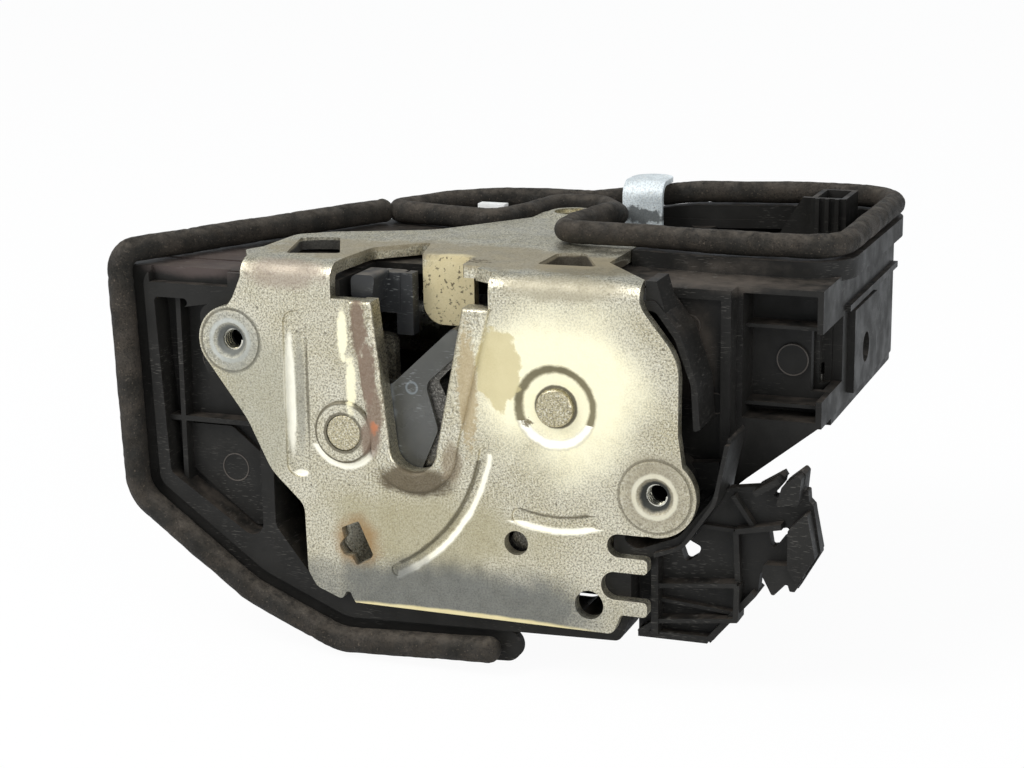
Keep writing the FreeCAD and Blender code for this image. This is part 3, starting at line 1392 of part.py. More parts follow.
def cable_bracket():
    """Moulded bracket for the cable ends, beside the case."""
    web_y = 8.6
    web = slab(bracket_outline(), front(web_y), 3.0)
    windows = [
        [(58.2, -17.2, 0.8), (59.7, -21.4, 0.8), (62.5, -19.4, 0.8), (63.3, -17.5, 0.8), (60.2, -16.0, 0.8)],
        [(78.2, -12.3, 0.6), (78.8, -15.8, 0.4), (79.9, -15.6, 0.4), (81.2, -13.7, 0.6), (82.8, -12.7, 0.4),
         (82.5, -11.0, 0.6)],
    ]
    for window in windows:
        web = web.cut(slab(window, front(web_y - 1), 5.0))
    ribs = [
        bar_between((53.8, -18.4), (53.8, -37.4), 1.6, 4.6, 8.0),
        bar_between((53.8, -26.2), (72.2, -24.2), 1.0, 4.8, 5.0),
        bar_between((53.8, -34.4), (72.3, -32.2), 1.0, 4.8, 5.0),
        bar_between((72.0, -32.4), (72.2, -24.2), 1.2, 4.8, 5.0),
        bar_between((54.6, -30.0), (71.6, -31.4), 0.8, 6.8, 3.0),
        bar_between((49.6, -38.0), (65.4, -37.9), 1.6, 6.0, 7.0),
        bar_between((65.6, -38.0), (75.6, -26.2), 1.4, 6.0, 8.0),
        bar_between((50.2, -37.6), (53.6, -35.0), 1.4, 5.0, 7.0),
        bar_between((62.4, -12.2), (71.4, -12.6), 0.9, 7.2, 3.0),
        bar_between((71.4, -12.4), (72.0, -24.0), 1.2, 6.4, 4.0),
        bar_between((71.6, -12.2), (81.6, -10.2), 1.2, 5.4, 7.2),
        bar_between((70.6, -4.6), (75.8, -12.0), 1.0, 6.6, 3.0),
        bar_between((75.6, -3.4), (80.9, 0.0), 1.3, 5.2, 8.4),
    ]
    blocks = [
        [(81.6, -1.2, 0.5), (85.0, 1.7, 0.5), (85.8, 0.8, 0.5), (85.3, -4.8, 0.4), (80.4, -5.6, 0.4)],
        [(83.2, -10.6, 0.5), (87.2, -6.2, 0.5), (89.2, -16.2, 0.6), (85.4, -22.6, 0.5), (83.2, -19.0, 0.5)],
        [(77.8, -19.0, 0.5), (77.6, -21.6, 0.4), (79.7, -25.6, 0.4), (80.3, -25.6, 0.4), (83.1, -22.6, 0.4),
         (83.7, -24.4, 0.3), (84.8, -24.4, 0.3), (86.6, -21.0, 0.4), (84.0, -18.6, 0.5)],
    ]
    clips = [slab(outline, front(y), 9.2) for outline, y in zip(blocks, (5.0, 4.6, 5.4))]
    body = joined([web] + ribs + clips)
    return body.cut(slab(case_outline(0.05), front(0), 30.0))


def build_all():
    """Write every node."""
    os.makedirs("parts", exist_ok=True)
    nodes = {
        "latch_plate": latch_plate(),
        "back_plate": back_plate(),
        "catch_pin": riveted_pin(catch_pin),
        "pawl_pin": riveted_pin(pawl_pin),
        "catch": catch_core(),
        "catch_skin_front": catch_skin(catch_front),
        "catch_skin_back": catch_skin(catch_back - skin_thick + skin_gap),
        "pawl": pawl(),
        "catch_spring": torsion_spring(catch_pin, 150.0),
        "pawl_spring": torsion_spring(pawl_pin, 60.0),
        "release_lever": release_lever(),
        "release_pin": lever_rivet(release_pin, lever_front),
        "outside_lever": outside_lever(),
        "outside_pin": lever_rivet(outside_pin, outer_lever_front),
        "latch_case": latch_case(),
        "bumper": bumper(),
        "cable_bracket": cable_bracket(),
        "main_housing": main_housing(),
        "housing_cover": housing_cover(),
        "cover_screw": cover_screw(),
        "retaining_clip": retaining_clip(),
        "lock_motor": lock_motor(),
        "worm": worm(),
        "worm_wheel": worm_wheel(),
        "worm_bearing": worm_bearing(),
        "lock_slide": lock_slide(),
        "inside_lever": inside_lever(),
        "connector_socket": connector_socket(),
        "connector_pins": connector_pins(),
        "steel_strap": steel_strap(),
        "catch_switch": microswitch(catch_switch_place),
        "pawl_switch": microswitch(pawl_switch_place),
        "contact_track": contact_track(),
        "edge_seal": edge_seal(),
        "loop_seal": loop_seal(),
    }
    for name, shape in nodes.items():
        save(shape, name)


build_all()
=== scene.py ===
"""Looks of a used car door lock: steel latch bracket, moulded housing, foam seals and cable bracket.

Metres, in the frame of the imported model: X across the bracket, Y into the door, Z up.
"""
import logging
import math
from dataclasses import dataclass
from enum import Enum
from typing import Callable, Optional, Sequence

import bmesh
import bpy
from mathutils import Matrix, Vector, noise


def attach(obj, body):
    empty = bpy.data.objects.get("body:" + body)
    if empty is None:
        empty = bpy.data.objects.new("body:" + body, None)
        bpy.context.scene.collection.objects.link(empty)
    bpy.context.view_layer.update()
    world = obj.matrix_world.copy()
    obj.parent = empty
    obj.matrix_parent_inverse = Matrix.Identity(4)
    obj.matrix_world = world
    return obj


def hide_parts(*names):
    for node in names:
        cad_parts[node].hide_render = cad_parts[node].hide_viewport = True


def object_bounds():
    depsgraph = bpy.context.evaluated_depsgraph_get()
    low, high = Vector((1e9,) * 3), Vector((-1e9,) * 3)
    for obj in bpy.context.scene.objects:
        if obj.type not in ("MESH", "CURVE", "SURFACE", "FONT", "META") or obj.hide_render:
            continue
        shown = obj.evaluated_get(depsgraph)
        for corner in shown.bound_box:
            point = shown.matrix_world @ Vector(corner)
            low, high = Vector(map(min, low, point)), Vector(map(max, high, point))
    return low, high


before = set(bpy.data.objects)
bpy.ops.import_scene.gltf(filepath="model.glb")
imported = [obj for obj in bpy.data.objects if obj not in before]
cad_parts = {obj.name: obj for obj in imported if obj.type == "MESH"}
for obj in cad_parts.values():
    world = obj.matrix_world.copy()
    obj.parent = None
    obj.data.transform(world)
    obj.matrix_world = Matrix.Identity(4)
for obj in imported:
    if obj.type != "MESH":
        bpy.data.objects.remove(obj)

CAD_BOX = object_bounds()
MM = 0.001
Point = tuple[float, float, float]
Colour = tuple[float, float, float, float]

logging.basicConfig(level=logging.INFO, format="%(message)s")
log = logging.getLogger("door_lock")


def srgb(red: int, green: int, blue: int) -> Colour:
    """Turn a colour as a screen shows it into the linear one that a shader takes.

    Args:
        red: Red, 0 to 255.
        green: Green, 0 to 255.
        blue: Blue, 0 to 255.

    Returns:
        The linear colour, opaque.
    """
    def linear(value: int) -> float:
        """Linear part of one channel."""
        part = value / 255
        return part / 12.92 if part <= 0.04045 else ((part + 0.055) / 1.055) ** 2.4
    return (linear(red), linear(green), linear(blue), 1.0)


def mm(x: float, y: float, z: float) -> Point:
    """Point in metres from millimetres."""
    return (x * MM, y * MM, z * MM)


class Body(Enum):
    """Bodies of the record that new pieces ride on."""

    LOCK = "lock"


class Slot(Enum):
    """Material slots of the record."""

    ZINC = "zinc_steel"
    BLACK = "black_plastic"
    FOAM = "foam"


class Graph:
    """Adds and links the nodes of one tree in a few words."""

    def __init__(self, tree: bpy.types.NodeTree) -> None:
        """Keep the tree that the nodes go in."""
        self.tree = tree

    def feed(self, socket: bpy.types.NodeSocket, value: object) -> None:
        """Link a socket to another, or set its value."""
        if isinstance(value, bpy.types.NodeSocket):
            self.tree.links.new(value, socket)
        elif value is not None:
            socket.default_value = value

    def add(self, kind: str, inputs: Optional[dict] = None, **settings: object) -> bpy.types.Node:
        """Add a node.

        Args:
            kind: Node type without its ShaderNode prefix.
            inputs: Values or sockets by input name or number.
            **settings: Attributes of the node.

        Returns:
            The new node.
        """
        node = self.tree.nodes.new("ShaderNode" + kind)
        for name, value in settings.items():
            setattr(node, name, value)
        for name, value in (inputs or {}).items():
            self.feed(node.inputs[name], value)
        return node

    def maths(self, operation: str, first: object, second: object = None) -> object:
        """Output of a Math node."""
        return self.add("Math", {0: first, 1: second}, operation=operation).outputs[0]

    def vector(self, operation: str, first: object, second: object = None) -> bpy.types.Node:
        """Vector Math node."""
        return self.add("VectorMath", {0: first, 1: second}, operation=operation)

    def mix(self, factor: object, first: object, second: object) -> object:
        """Colour between two others, by a factor."""
        node = self.add("Mix", data_type="RGBA", blend_type="MIX")
        node.clamp_factor = True
        self.feed(node.inputs[0], factor)
        self.feed(node.inputs[6], first)
        self.feed(node.inputs[7], second)
        return node.outputs[2]

    def between(self, value: object, low: object, high: object, out_low: float = 0.0,
                out_high: float = 1.0) -> object:
        """Smooth step of a value from one range to another."""
        node = self.add("MapRange", {0: value, 1: low, 2: high, 3: out_low, 4: out_high},
                        interpolation_type="SMOOTHSTEP")
        return node.outputs[0]

    def noise(self, vector: object, scale: float, detail: float = 3, roughness: float = 0.55) -> object:
        """Noise value at a point."""
        settings = {"Vector": vector, "Scale": scale, "Detail": detail, "Roughness": roughness}
        return self.add("TexNoise", settings).outputs["Fac"]

    def group(self, tree: bpy.types.NodeTree, **inputs: object) -> bpy.types.Node:
        """Place a node group with its inputs by name, underscores for spaces."""
        node = self.tree.nodes.new("ShaderNodeGroup")
        node.node_tree = tree
        for name, value in inputs.items():
            self.feed(node.inputs[name.replace("_", " ")], value)
        return node


class Effects:
    """Node groups that several finishes share, each made once."""

    def __init__(self) -> None:
        """Make the groups."""
        self.mottle = self.make("Mottle", ("Vector",), ("Scale", "Low", "High"), self.fill_mottle)
        self.pits = self.make("Pits", ("Vector",), ("Scale", "Size"), self.fill_pits)
        self.scratches = self.make("Scratches", ("Vector",), ("Scale", "Amount"), self.fill_scratches)
        self.patch = self.make("Patch", ("Vector", "Centre", "Radii"), ("Edge", "Ragged", "Scale"),
                               self.fill_patch)
        self.arc = self.make("Arc", ("Vector", "Centre"), ("Radius", "Width", "Left", "Top"), self.fill_arc)
        self.dust = self.make("Dust", ("Vector",), ("Scale", "Amount"), self.fill_dust)

    @staticmethod
    def make(name: str, vectors: Sequence[str], values: Sequence[str],
             fill: Callable[[Graph, dict], object]) -> bpy.types.NodeTree:
        """Make one group with a Mask output.

        Args:
            name: Name of the group.
            vectors: Names of its vector inputs.
            values: Names of its number inputs.
            fill: Adds the nodes and returns the socket of the mask.

        Returns:
            The group's tree.
        """
        tree = bpy.data.node_groups.new(name, "ShaderNodeTree")
        for labels, kind in ((vectors, "NodeSocketVector"), (values, "NodeSocketFloat")):
            for label in labels:
                tree.interface.new_socket(name=label, in_out="INPUT", socket_type=kind)
        tree.interface.new_socket(name="Mask", in_out="OUTPUT", socket_type="NodeSocketFloat")
        graph = Graph(tree)
        given = tree.nodes.new("NodeGroupInput")
        result = tree.nodes.new("NodeGroupOutput")
        graph.feed(result.inputs["Mask"], fill(graph, {s.name: s for s in given.outputs if s.name}))
        return tree

    @staticmethod
    def fill_mottle(graph: Graph, given: dict) -> object:
        """Cloudy patches where noise lies between the two levels."""
        value = graph.noise(given["Vector"], given["Scale"], 4, 0.6)
        return graph.between(value, given["Low"], given["High"])

    @staticmethod
    def fill_pits(graph: Graph, given: dict) -> object:
        """Small round dots of different sizes."""
        cells = graph.add("TexVoronoi", {"Vector": given["Vector"], "Scale": given["Scale"]})
        size = graph.maths("MULTIPLY", graph.add("SeparateColor", {0: cells.outputs["Color"]}).outputs[0],
                           given["Size"])
        return graph.maths("LESS_THAN", cells.outputs["Distance"], size)

    @staticmethod
    def fill_scratches(graph: Graph, given: dict) -> object:
        """Fine straight lines in three directions."""
        lines = []
        for turn, squeeze in (((0.1, 0.35, 0.2), 30.0), ((0.4, -0.7, 0.1), 22.0), ((0.2, 1.25, -0.3), 26.0)):
            place = graph.add("Mapping", {"Vector": given["Vector"], "Rotation": turn,
                                          "Scale": (squeeze * 0.1, squeeze * 0.1, squeeze)}).outputs[0]
            lines.append(graph.between(graph.noise(place, given["Scale"], 1, 0.4), 0.68, 0.74))
        most = graph.maths("MAXIMUM", graph.maths("MAXIMUM", lines[0], lines[1]), lines[2])
        area = graph.between(graph.noise(given["Vector"], 60.0, 2), 0.42, 0.62)
        return graph.maths("MULTIPLY", graph.maths("MULTIPLY", most, area), given["Amount"])

    @staticmethod
    def fill_patch(graph: Graph, given: dict) -> object:
        """Round patch with a ragged edge at a place on the piece."""
        away = graph.vector("SUBTRACT", given["Vector"], given["Centre"]).outputs[0]
        scaled = graph.vector("DIVIDE", away, given["Radii"]).outputs[0]
        length = graph.vector("LENGTH", scaled).outputs["Value"]
        wobble = graph.maths("SUBTRACT", graph.noise(given["Vector"], given["Scale"], 5, 0.6), 0.5)
        reach = graph.maths("ADD", length, graph.maths("MULTIPLY", wobble, given["Ragged"]))
        inner = graph.maths("SUBTRACT", 1.0, given["Edge"])
        return graph.between(reach, inner, 1.0, 1.0, 0.0)

    @staticmethod
    def fill_arc(graph: Graph, given: dict) -> object:
        """Band along a circle in the upright plane, cut off at its left and its top."""
        away = graph.vector("SUBTRACT", given["Vector"], given["Centre"]).outputs[0]
        flat = graph.vector("MULTIPLY", away, (1.0, 0.0, 1.0)).outputs[0]
        length = graph.vector("LENGTH", flat).outputs["Value"]
        off = graph.maths("ABSOLUTE", graph.maths("SUBTRACT", length, given["Radius"]))
        share = graph.maths("DIVIDE", off, given["Width"])
        wobble = graph.maths("SUBTRACT", graph.noise(given["Vector"], 500.0, 4, 0.6), 0.5)
        reach = graph.maths("ADD", share, graph.maths("MULTIPLY", wobble, 0.8))
        band = graph.between(reach, 0.3, 1.0, 1.0, 0.0)
        split = graph.add("SeparateXYZ", {0: given["Vector"]}).outputs
        inside = graph.maths("MULTIPLY", graph.maths("GREATER_THAN", split[0], given["Left"]),
                             graph.maths("LESS_THAN", split[2], given["Top"]))
        return graph.maths("MULTIPLY", band, inside)

    @staticmethod
    def fill_dust(graph: Graph, given: dict) -> object:
        """Dust on faces that look up."""
        normal = graph.add("NewGeometry").outputs["Normal"]
        up = graph.add("SeparateXYZ", {0: normal}).outputs[2]
        facing = graph.between(up, 0.25, 0.95)
        cloud = graph.between(graph.noise(given["Vector"], given["Scale"], 5, 0.65), 0.3, 0.7)
        return graph.maths("MULTIPLY", graph.maths("MULTIPLY", facing, cloud), given["Amount"])


@dataclass(frozen=True)
class StainOrPaintedLight:
    """One ragged round mark on a finish, placed in millimetres: a stain, or a patch of painted light or
    shade.

    Edge is the share of its reach that fades, ragged is how far noise moves its edge, scale is the scale of
    that noise and metal is how metallic the marked surface stays.
    """

    place: Point
    reach: Point
    colour: Colour
    strength: float = 0.8
    edge: float = 0.5
    ragged: float = 0.8
    scale: float = 350.0
    metal: float = 0.0

    def mask(self, graph: Graph, effects: Effects, where: object) -> object:
        """Share of the mark at a point."""
        return graph.group(effects.patch, Vector=where, Centre=mm(*self.place), Radii=mm(*self.reach),
                           Edge=self.edge, Ragged=self.ragged, Scale=self.scale).outputs[0]


@dataclass(frozen=True)
class ArcMark:
    """Band of light or shade along a pressed circle, in millimetres, shown right of left and below top."""

    centre: tuple[float, float]
    radius: float
    width: float
    colour: Colour
    strength: float = 0.8
    left: float = -500.0
    top: float = 500.0
    metal: float = 0.9

    def mask(self, graph: Graph, effects: Effects, where: object) -> object:
        """Share of the band at a point."""
        return graph.group(effects.arc, Vector=where, Centre=mm(self.centre[0], 0.0, self.centre[1]),
                           Radius=self.radius * MM, Width=self.width * MM, Left=self.left * MM,
                           Top=self.top * MM).outputs[0]


@dataclass(frozen=True)
class Finish:
    """A material built from a base coat and the marks on it: marks of use, and painted light and shade."""

    name: str
    colour: Colour
    roughness: float = 0.5
    metallic: float = 0.0
    shine: float = 0.5
    bump: float = 0.35
    bump_depth: float = 0.00025

    def start(self) -> tuple[bpy.types.Material, Graph, object, object]:
        """Make the material and its shader.

        Returns:
            The material, its graph, the object coordinates and the shader node.
        """
        material = bpy.data.materials.new(self.name)
        material.use_nodes = True
        graph = Graph(material.node_tree)
        shader = material.node_tree.nodes["Principled BSDF"]
        shader.inputs["Metallic"].default_value = self.metallic
        shader.inputs["Roughness"].default_value = self.roughness
        shader.inputs["Specular IOR Level"].default_value = self.shine
        where = graph.add("TexCoord").outputs["Object"]
        return material, graph, where, shader

    def relief(self, graph: Graph, shader: bpy.types.Node, height: object) -> None:
        """Bump the surface by a height."""
        bump = graph.add("Bump", {"Strength": self.bump, "Distance": self.bump_depth, "Height": height})
        graph.feed(shader.inputs["Normal"], bump.outputs[0])

    def build(self, effects: Effects) -> bpy.types.Material:
        """Make the material."""
        raise NotImplementedError


@dataclass(frozen=True)
class ZincCoat(Finish):
    """Zinc-plated steel: speckled, scratched and stained, with painted light and shade among its marks."""

    metallic: float = 1.0
    roughness: float = 0.36
    tint: Colour = srgb(186, 176, 142)
    dark: Colour = srgb(96, 90, 76)
    light: Colour = srgb(246, 243, 228)
    scratch: Colour = srgb(222, 218, 204)
    blotches: float = 0.6
    speckle: float = 0.6
    pitting: float = 0.6
    scratches: float = 0.5
    mark_roughness: float = 0.22
    stains_and_light: tuple[StainOrPaintedLight | ArcMark, ...] = ()

    def build(self, effects: Effects) -> bpy.types.Material:
        """Make the material."""
        material, graph, where, shader = self.start()
        cloud = graph.group(effects.mottle, Vector=where, Scale=55.0, Low=0.35, High=0.68).outputs[0]
        colour = graph.mix(graph.maths("MULTIPLY", cloud, self.blotches), self.colour, self.tint)
        grain = graph.group(effects.mottle, Vector=where, Scale=2300.0, Low=0.47, High=0.57).outputs[0]
        colour = graph.mix(graph.maths("MULTIPLY", grain, self.speckle), colour, self.dark)
        sparkle = graph.group(effects.mottle, Vector=where, Scale=2400.0, Low=0.54, High=0.62).outputs[0]
        colour = graph.mix(graph.maths("MULTIPLY", sparkle, self.speckle), colour, self.light)
        pits = graph.group(effects.pits, Vector=where, Scale=420.0, Size=0.16).outputs[0]
        colour = graph.mix(graph.maths("MULTIPLY", pits, self.pitting), colour, self.dark)
        lines = graph.group(effects.scratches, Vector=where, Scale=220.0, Amount=self.scratches).outputs[0]
        colour = graph.mix(lines, colour, self.scratch)
        rough = graph.between(graph.noise(where, 240.0, 4), 0.3, 0.75, self.roughness - 0.06,
                              self.roughness + 0.14)
        metal: object = self.metallic
        # Each mark in turn: stains, and patches of painted light and shade.
        for stain_or_light in self.stains_and_light:
            mask = graph.maths("MULTIPLY", stain_or_light.mask(graph, effects, where), stain_or_light.strength)
            colour = graph.mix(mask, colour, stain_or_light.colour)
            rough = graph.maths("ADD", rough, graph.maths("MULTIPLY", mask, self.mark_roughness))
            metal = graph.maths("SUBTRACT", metal, graph.maths("MULTIPLY", mask, 1.0 - stain_or_light.metal))
        graph.feed(shader.inputs["Base Color"], colour)
        graph.feed(shader.inputs["Roughness"], rough)
        if self.stains_and_light:
            graph.feed(shader.inputs["Metallic"], graph.maths("MAXIMUM", metal, 0.0))
        height = graph.maths("SUBTRACT", graph.noise(where, 1500.0, 4, 0.65),
                             graph.maths("MULTIPLY", pits, 0.3))
        self.relief(graph, shader, height)
        return material


@dataclass(frozen=True)
class Moulding(Finish):
    """Moulded plastic: fine spark grain, dust on top and lighter scuffs."""

    roughness: float = 0.5
    bump: float = 0.15
    bump_depth: float = 0.00015
    cloud_gain: float = 1.5
    cloud_lift: float = 0.001
    dust: float = 0.5
    dust_colour: Colour = srgb(128, 118, 104)
    scuff: Colour = srgb(120, 116, 110)
    scuffs: float = 0.3
    grain: float = 1600.0
    stains_and_light: tuple[StainOrPaintedLight | ArcMark, ...] = ()

    def build(self, effects: Effects) -> bpy.types.Material:
        """Make the material."""
        material, graph, where, shader = self.start()
        cloud = graph.group(effects.mottle, Vector=where, Scale=90.0, Low=0.35, High=0.7).outputs[0]
        lighter = tuple(min(1.0, c * self.cloud_gain + self.cloud_lift) for c in self.colour[:3]) + (1.0,)
        colour = graph.mix(cloud, self.colour, lighter)
        # Each mark in turn: stains, and patches of painted light and shade.
        for stain_or_light in self.stains_and_light:
            mask = stain_or_light.mask(graph, effects, where)
            colour = graph.mix(graph.maths("MULTIPLY", mask, stain_or_light.strength), colour, stain_or_light.colour)
        dust = graph.group(effects.dust, Vector=where, Scale=260.0, Amount=self.dust).outputs[0]
        colour = graph.mix(dust, colour, self.dust_colour)
        lines = graph.group(effects.scratches, Vector=where, Scale=180.0, Amount=self.scuffs).outputs[0]
        colour = graph.mix(lines, colour, self.scuff)
        rough = graph.between(graph.noise(where, 150.0, 3), 0.3, 0.7, self.roughness - 0.08,
                              self.roughness + 0.1)
        rough = graph.maths("ADD", rough, graph.maths("MULTIPLY", dust, 0.3))
        graph.feed(shader.inputs["Base Color"], colour)
        graph.feed(shader.inputs["Roughness"], rough)
        self.relief(graph, shader, graph.noise(where, self.grain, 3))
        return material


@dataclass(frozen=True)
class FoamSkin(Finish):
    """Closed-cell foam: pores, crumbs and dust on top."""

    roughness: float = 0.9
    bump: float = 0.6
    bump_depth: float = 0.0006
    worn: Colour = srgb(60, 54, 47)
    pore: Colour = srgb(22, 20, 18)
    crumb: Colour = srgb(120, 108, 94)
    dust_colour: Colour = srgb(92, 85, 76)
    pores: float = 0.6
    crumbs: float = 0.4
    dust: float = 0.7

    def build(self, effects: Effects) -> bpy.types.Material:
        """Make the material."""
        material, graph, where, shader = self.start()
        cloud = graph.group(effects.mottle, Vector=where, Scale=120.0, Low=0.35, High=0.7).outputs[0]
        colour = graph.mix(cloud, self.colour, self.worn)
        pores = graph.group(effects.mottle, Vector=where, Scale=2600.0, Low=0.5, High=0.66).outputs[0]
        colour = graph.mix(graph.maths("MULTIPLY", pores, self.pores), colour, self.pore)
        crumbs = graph.group(effects.mottle, Vector=where, Scale=1900.0, Low=0.6, High=0.7).outputs[0]
        colour = graph.mix(graph.maths("MULTIPLY", crumbs, self.crumbs), colour, self.crumb)
        dust = graph.group(effects.dust, Vector=where, Scale=420.0, Amount=self.dust).outputs[0]
        colour = graph.mix(dust, colour, self.dust_colour)
        graph.feed(shader.inputs["Base Color"], colour)
        rough = graph.between(graph.noise(where, 300.0, 3), 0.3, 0.7, 0.62, 0.9)
        graph.feed(shader.inputs["Roughness"], rough)
        height = graph.maths("SUBTRACT", graph.noise(where, 1300.0, 4, 0.7),
                             graph.maths("MULTIPLY", pores, 0.5))
        self.relief(graph, shader, height)
        return material


class Workshop:
    """Gives finishes to CAD nodes, and names, dresses and attaches new pieces."""

    def __init__(self, effects: Effects) -> None:
        """Keep the shared effects and the finishes made so far."""
        self.effects = effects
        self.made: dict[str, bpy.types.Material] = {}

    def material(self, finish: Finish) -> bpy.types.Material:
        """Material of a finish, made once."""
        if finish.name not in self.made:
            self.made[finish.name] = finish.build(self.effects)
        return self.made[finish.name]

    def dress(self, finish: Finish, *nodes: str) -> None:
        """Give a finish to CAD nodes.

        Args:
            finish: The finish.
            *nodes: Names of the nodes.
        """
        for name in nodes:
            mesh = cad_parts[name].data
            mesh.materials.clear()
            mesh.materials.append(self.material(finish))
            log.info("dressed %s in %s", name, finish.name)

    def finish_piece(self, piece: bpy.types.Object, name: str, finish: Finish,
                     body: Body) -> None:
        """Name a new piece, dress it and let it ride.

        Args:
            piece: The piece, in its place.
            name: Its name.
            finish: Its finish.
            body: The body that it rides on.
        """
        piece.name = name
        piece.data.materials.clear()
        piece.data.materials.append(self.material(finish))
        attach(piece, body.value)
        log.info("made %s with %d faces", name, len(piece.data.polygons))


@dataclass(frozen=True)
class Lamp:
    """Soft square lamp, in metres and watts."""

    name: str
    place: Point
    size: float
    power: float
    target: Point = (0.0, 0.03, 0.0)

    def build(self) -> None:
        """Put the lamp in its place, facing its target."""
        data = bpy.data.lights.new(self.name, "AREA")
        data.size = self.size
        data.energy = self.power
        lamp = bpy.data.objects.new(self.name, data)
        bpy.context.scene.collection.objects.link(lamp)
        turn = (Vector(self.target) - Vector(self.place)).to_track_quat("-Z", "Y").to_matrix().to_4x4()
        lamp.matrix_world = Matrix.Translation(self.place) @ turn


class Studio:
    """Camera, lamps, floor and surroundings; angles in degrees, lengths in metres."""

    sensor_mm = 36.0
    photo_width_px = 1024.0
    focal_px = 2200.0
    place = mm(186.8, -431.7, 135.8)
    yaw = 20.8
    pitch = 14.3
    roll = -0.75
    clip_start = 0.01
    sky = (0.9, 0.95, 1.0, 1.0)
    sky_strength = 0.6
    floor_size = 12.0
    floor_back = 2.0
    floor_gap = 0.0004
    floor_grey = (0.9, 0.9, 0.9, 1.0)
    floor_roughness = 0.9
    floor_glow = 0.95
    white = (1.0, 1.0, 1.0, 1.0)
    lamps = (Lamp("key_lamp", (-0.75, -0.75, 1.05), 0.7, 16.0),
             Lamp("fill_lamp", (1.1, -0.9, 0.55), 0.9, 8.0))

    def view(self) -> None:
        """Set up the camera at the photograph's place."""
        yaw, pitch, roll = (math.radians(a) for a in (self.yaw, self.pitch, self.roll))
        look = Vector((-math.sin(yaw) * math.cos(pitch), math.cos(yaw) * math.cos(pitch), -math.sin(pitch)))
        level = Vector((math.cos(yaw), math.sin(yaw), 0.0))
        above = level.cross(look)
        right = level * math.cos(roll) + above * math.sin(roll)
        up = above * math.cos(roll) - level * math.sin(roll)
        turn = Matrix((right, up, -look)).transposed().to_4x4()
        data = bpy.data.cameras.new("camera")
        data.sensor_width = self.sensor_mm
        data.lens = self.focal_px / self.photo_width_px * self.sensor_mm
        data.clip_start = self.clip_start
        camera = bpy.data.objects.new("camera", data)
        bpy.context.scene.collection.objects.link(camera)
        camera.matrix_world = Matrix.Translation(self.place) @ turn
        bpy.context.scene.camera = camera

    def surroundings(self) -> None:
        """Pale world that the camera and rays through glass see as white, and other rays as a dim sky."""
        world = bpy.data.worlds.new("pale_room")
        bpy.context.scene.world = world
        world.use_nodes = True
        graph = Graph(world.node_tree)
        dim = world.node_tree.nodes["Background"]
        dim.inputs[0].default_value = self.sky
        dim.inputs[1].default_value = self.sky_strength
        white = graph.add("Background", {0: self.white, 1: 1.0})
        path = graph.add("LightPath")
        seen = graph.maths("MAXIMUM", path.outputs["Is Camera Ray"], path.outputs["Is Transmission Ray"])
        mixer = graph.add("MixShader", {0: seen, 1: dim.outputs[0], 2: white.outputs[0]})
        graph.feed(world.node_tree.nodes["World Output"].inputs[0], mixer.outputs[0])

    def floor(self) -> None:
        """White floor that keeps a soft shadow."""
        low = min(corner[2] for corner in CAD_BOX) - self.floor_gap
        bpy.ops.object.select_all(action="DESELECT")
        bpy.ops.mesh.primitive_plane_add(size=self.floor_size, location=(0, self.floor_back, low))
        plane = bpy.context.object
        plane.name = "floor"
        material = bpy.data.materials.new("white_floor")
        material.use_nodes = True
        graph = Graph(material.node_tree)
        shader = material.node_tree.nodes["Principled BSDF"]
        shader.inputs["Base Color"].default_value = self.floor_grey
        shader.inputs["Roughness"].default_value = self.floor_roughness
        white = graph.add("Emission", {0: self.white, 1: 1.0})
        path = graph.add("LightPath")
        amount = graph.maths("MULTIPLY", path.outputs["Is Camera Ray"], self.floor_glow)
        mixer = graph.add("MixShader", {0: amount, 1: shader.outputs[0], 2: white.outputs[0]})
        graph.feed(material.node_tree.nodes["Material Output"].inputs[0], mixer.outputs[0])
        plane.data.materials.append(material)

    def build(self) -> None:
        """Set up the whole studio."""
        self.view()
        self.surroundings()
        self.floor()
        for lamp in self.lamps:
            lamp.build()
        bpy.context.scene.view_settings.view_transform = "Standard"


LIP_BROWN = srgb(120, 100, 84)
RUST = srgb(180, 110, 72)
CREAM = srgb(250, 244, 214)
LIT = srgb(254, 250, 234)
SHADED = srgb(96, 90, 74)
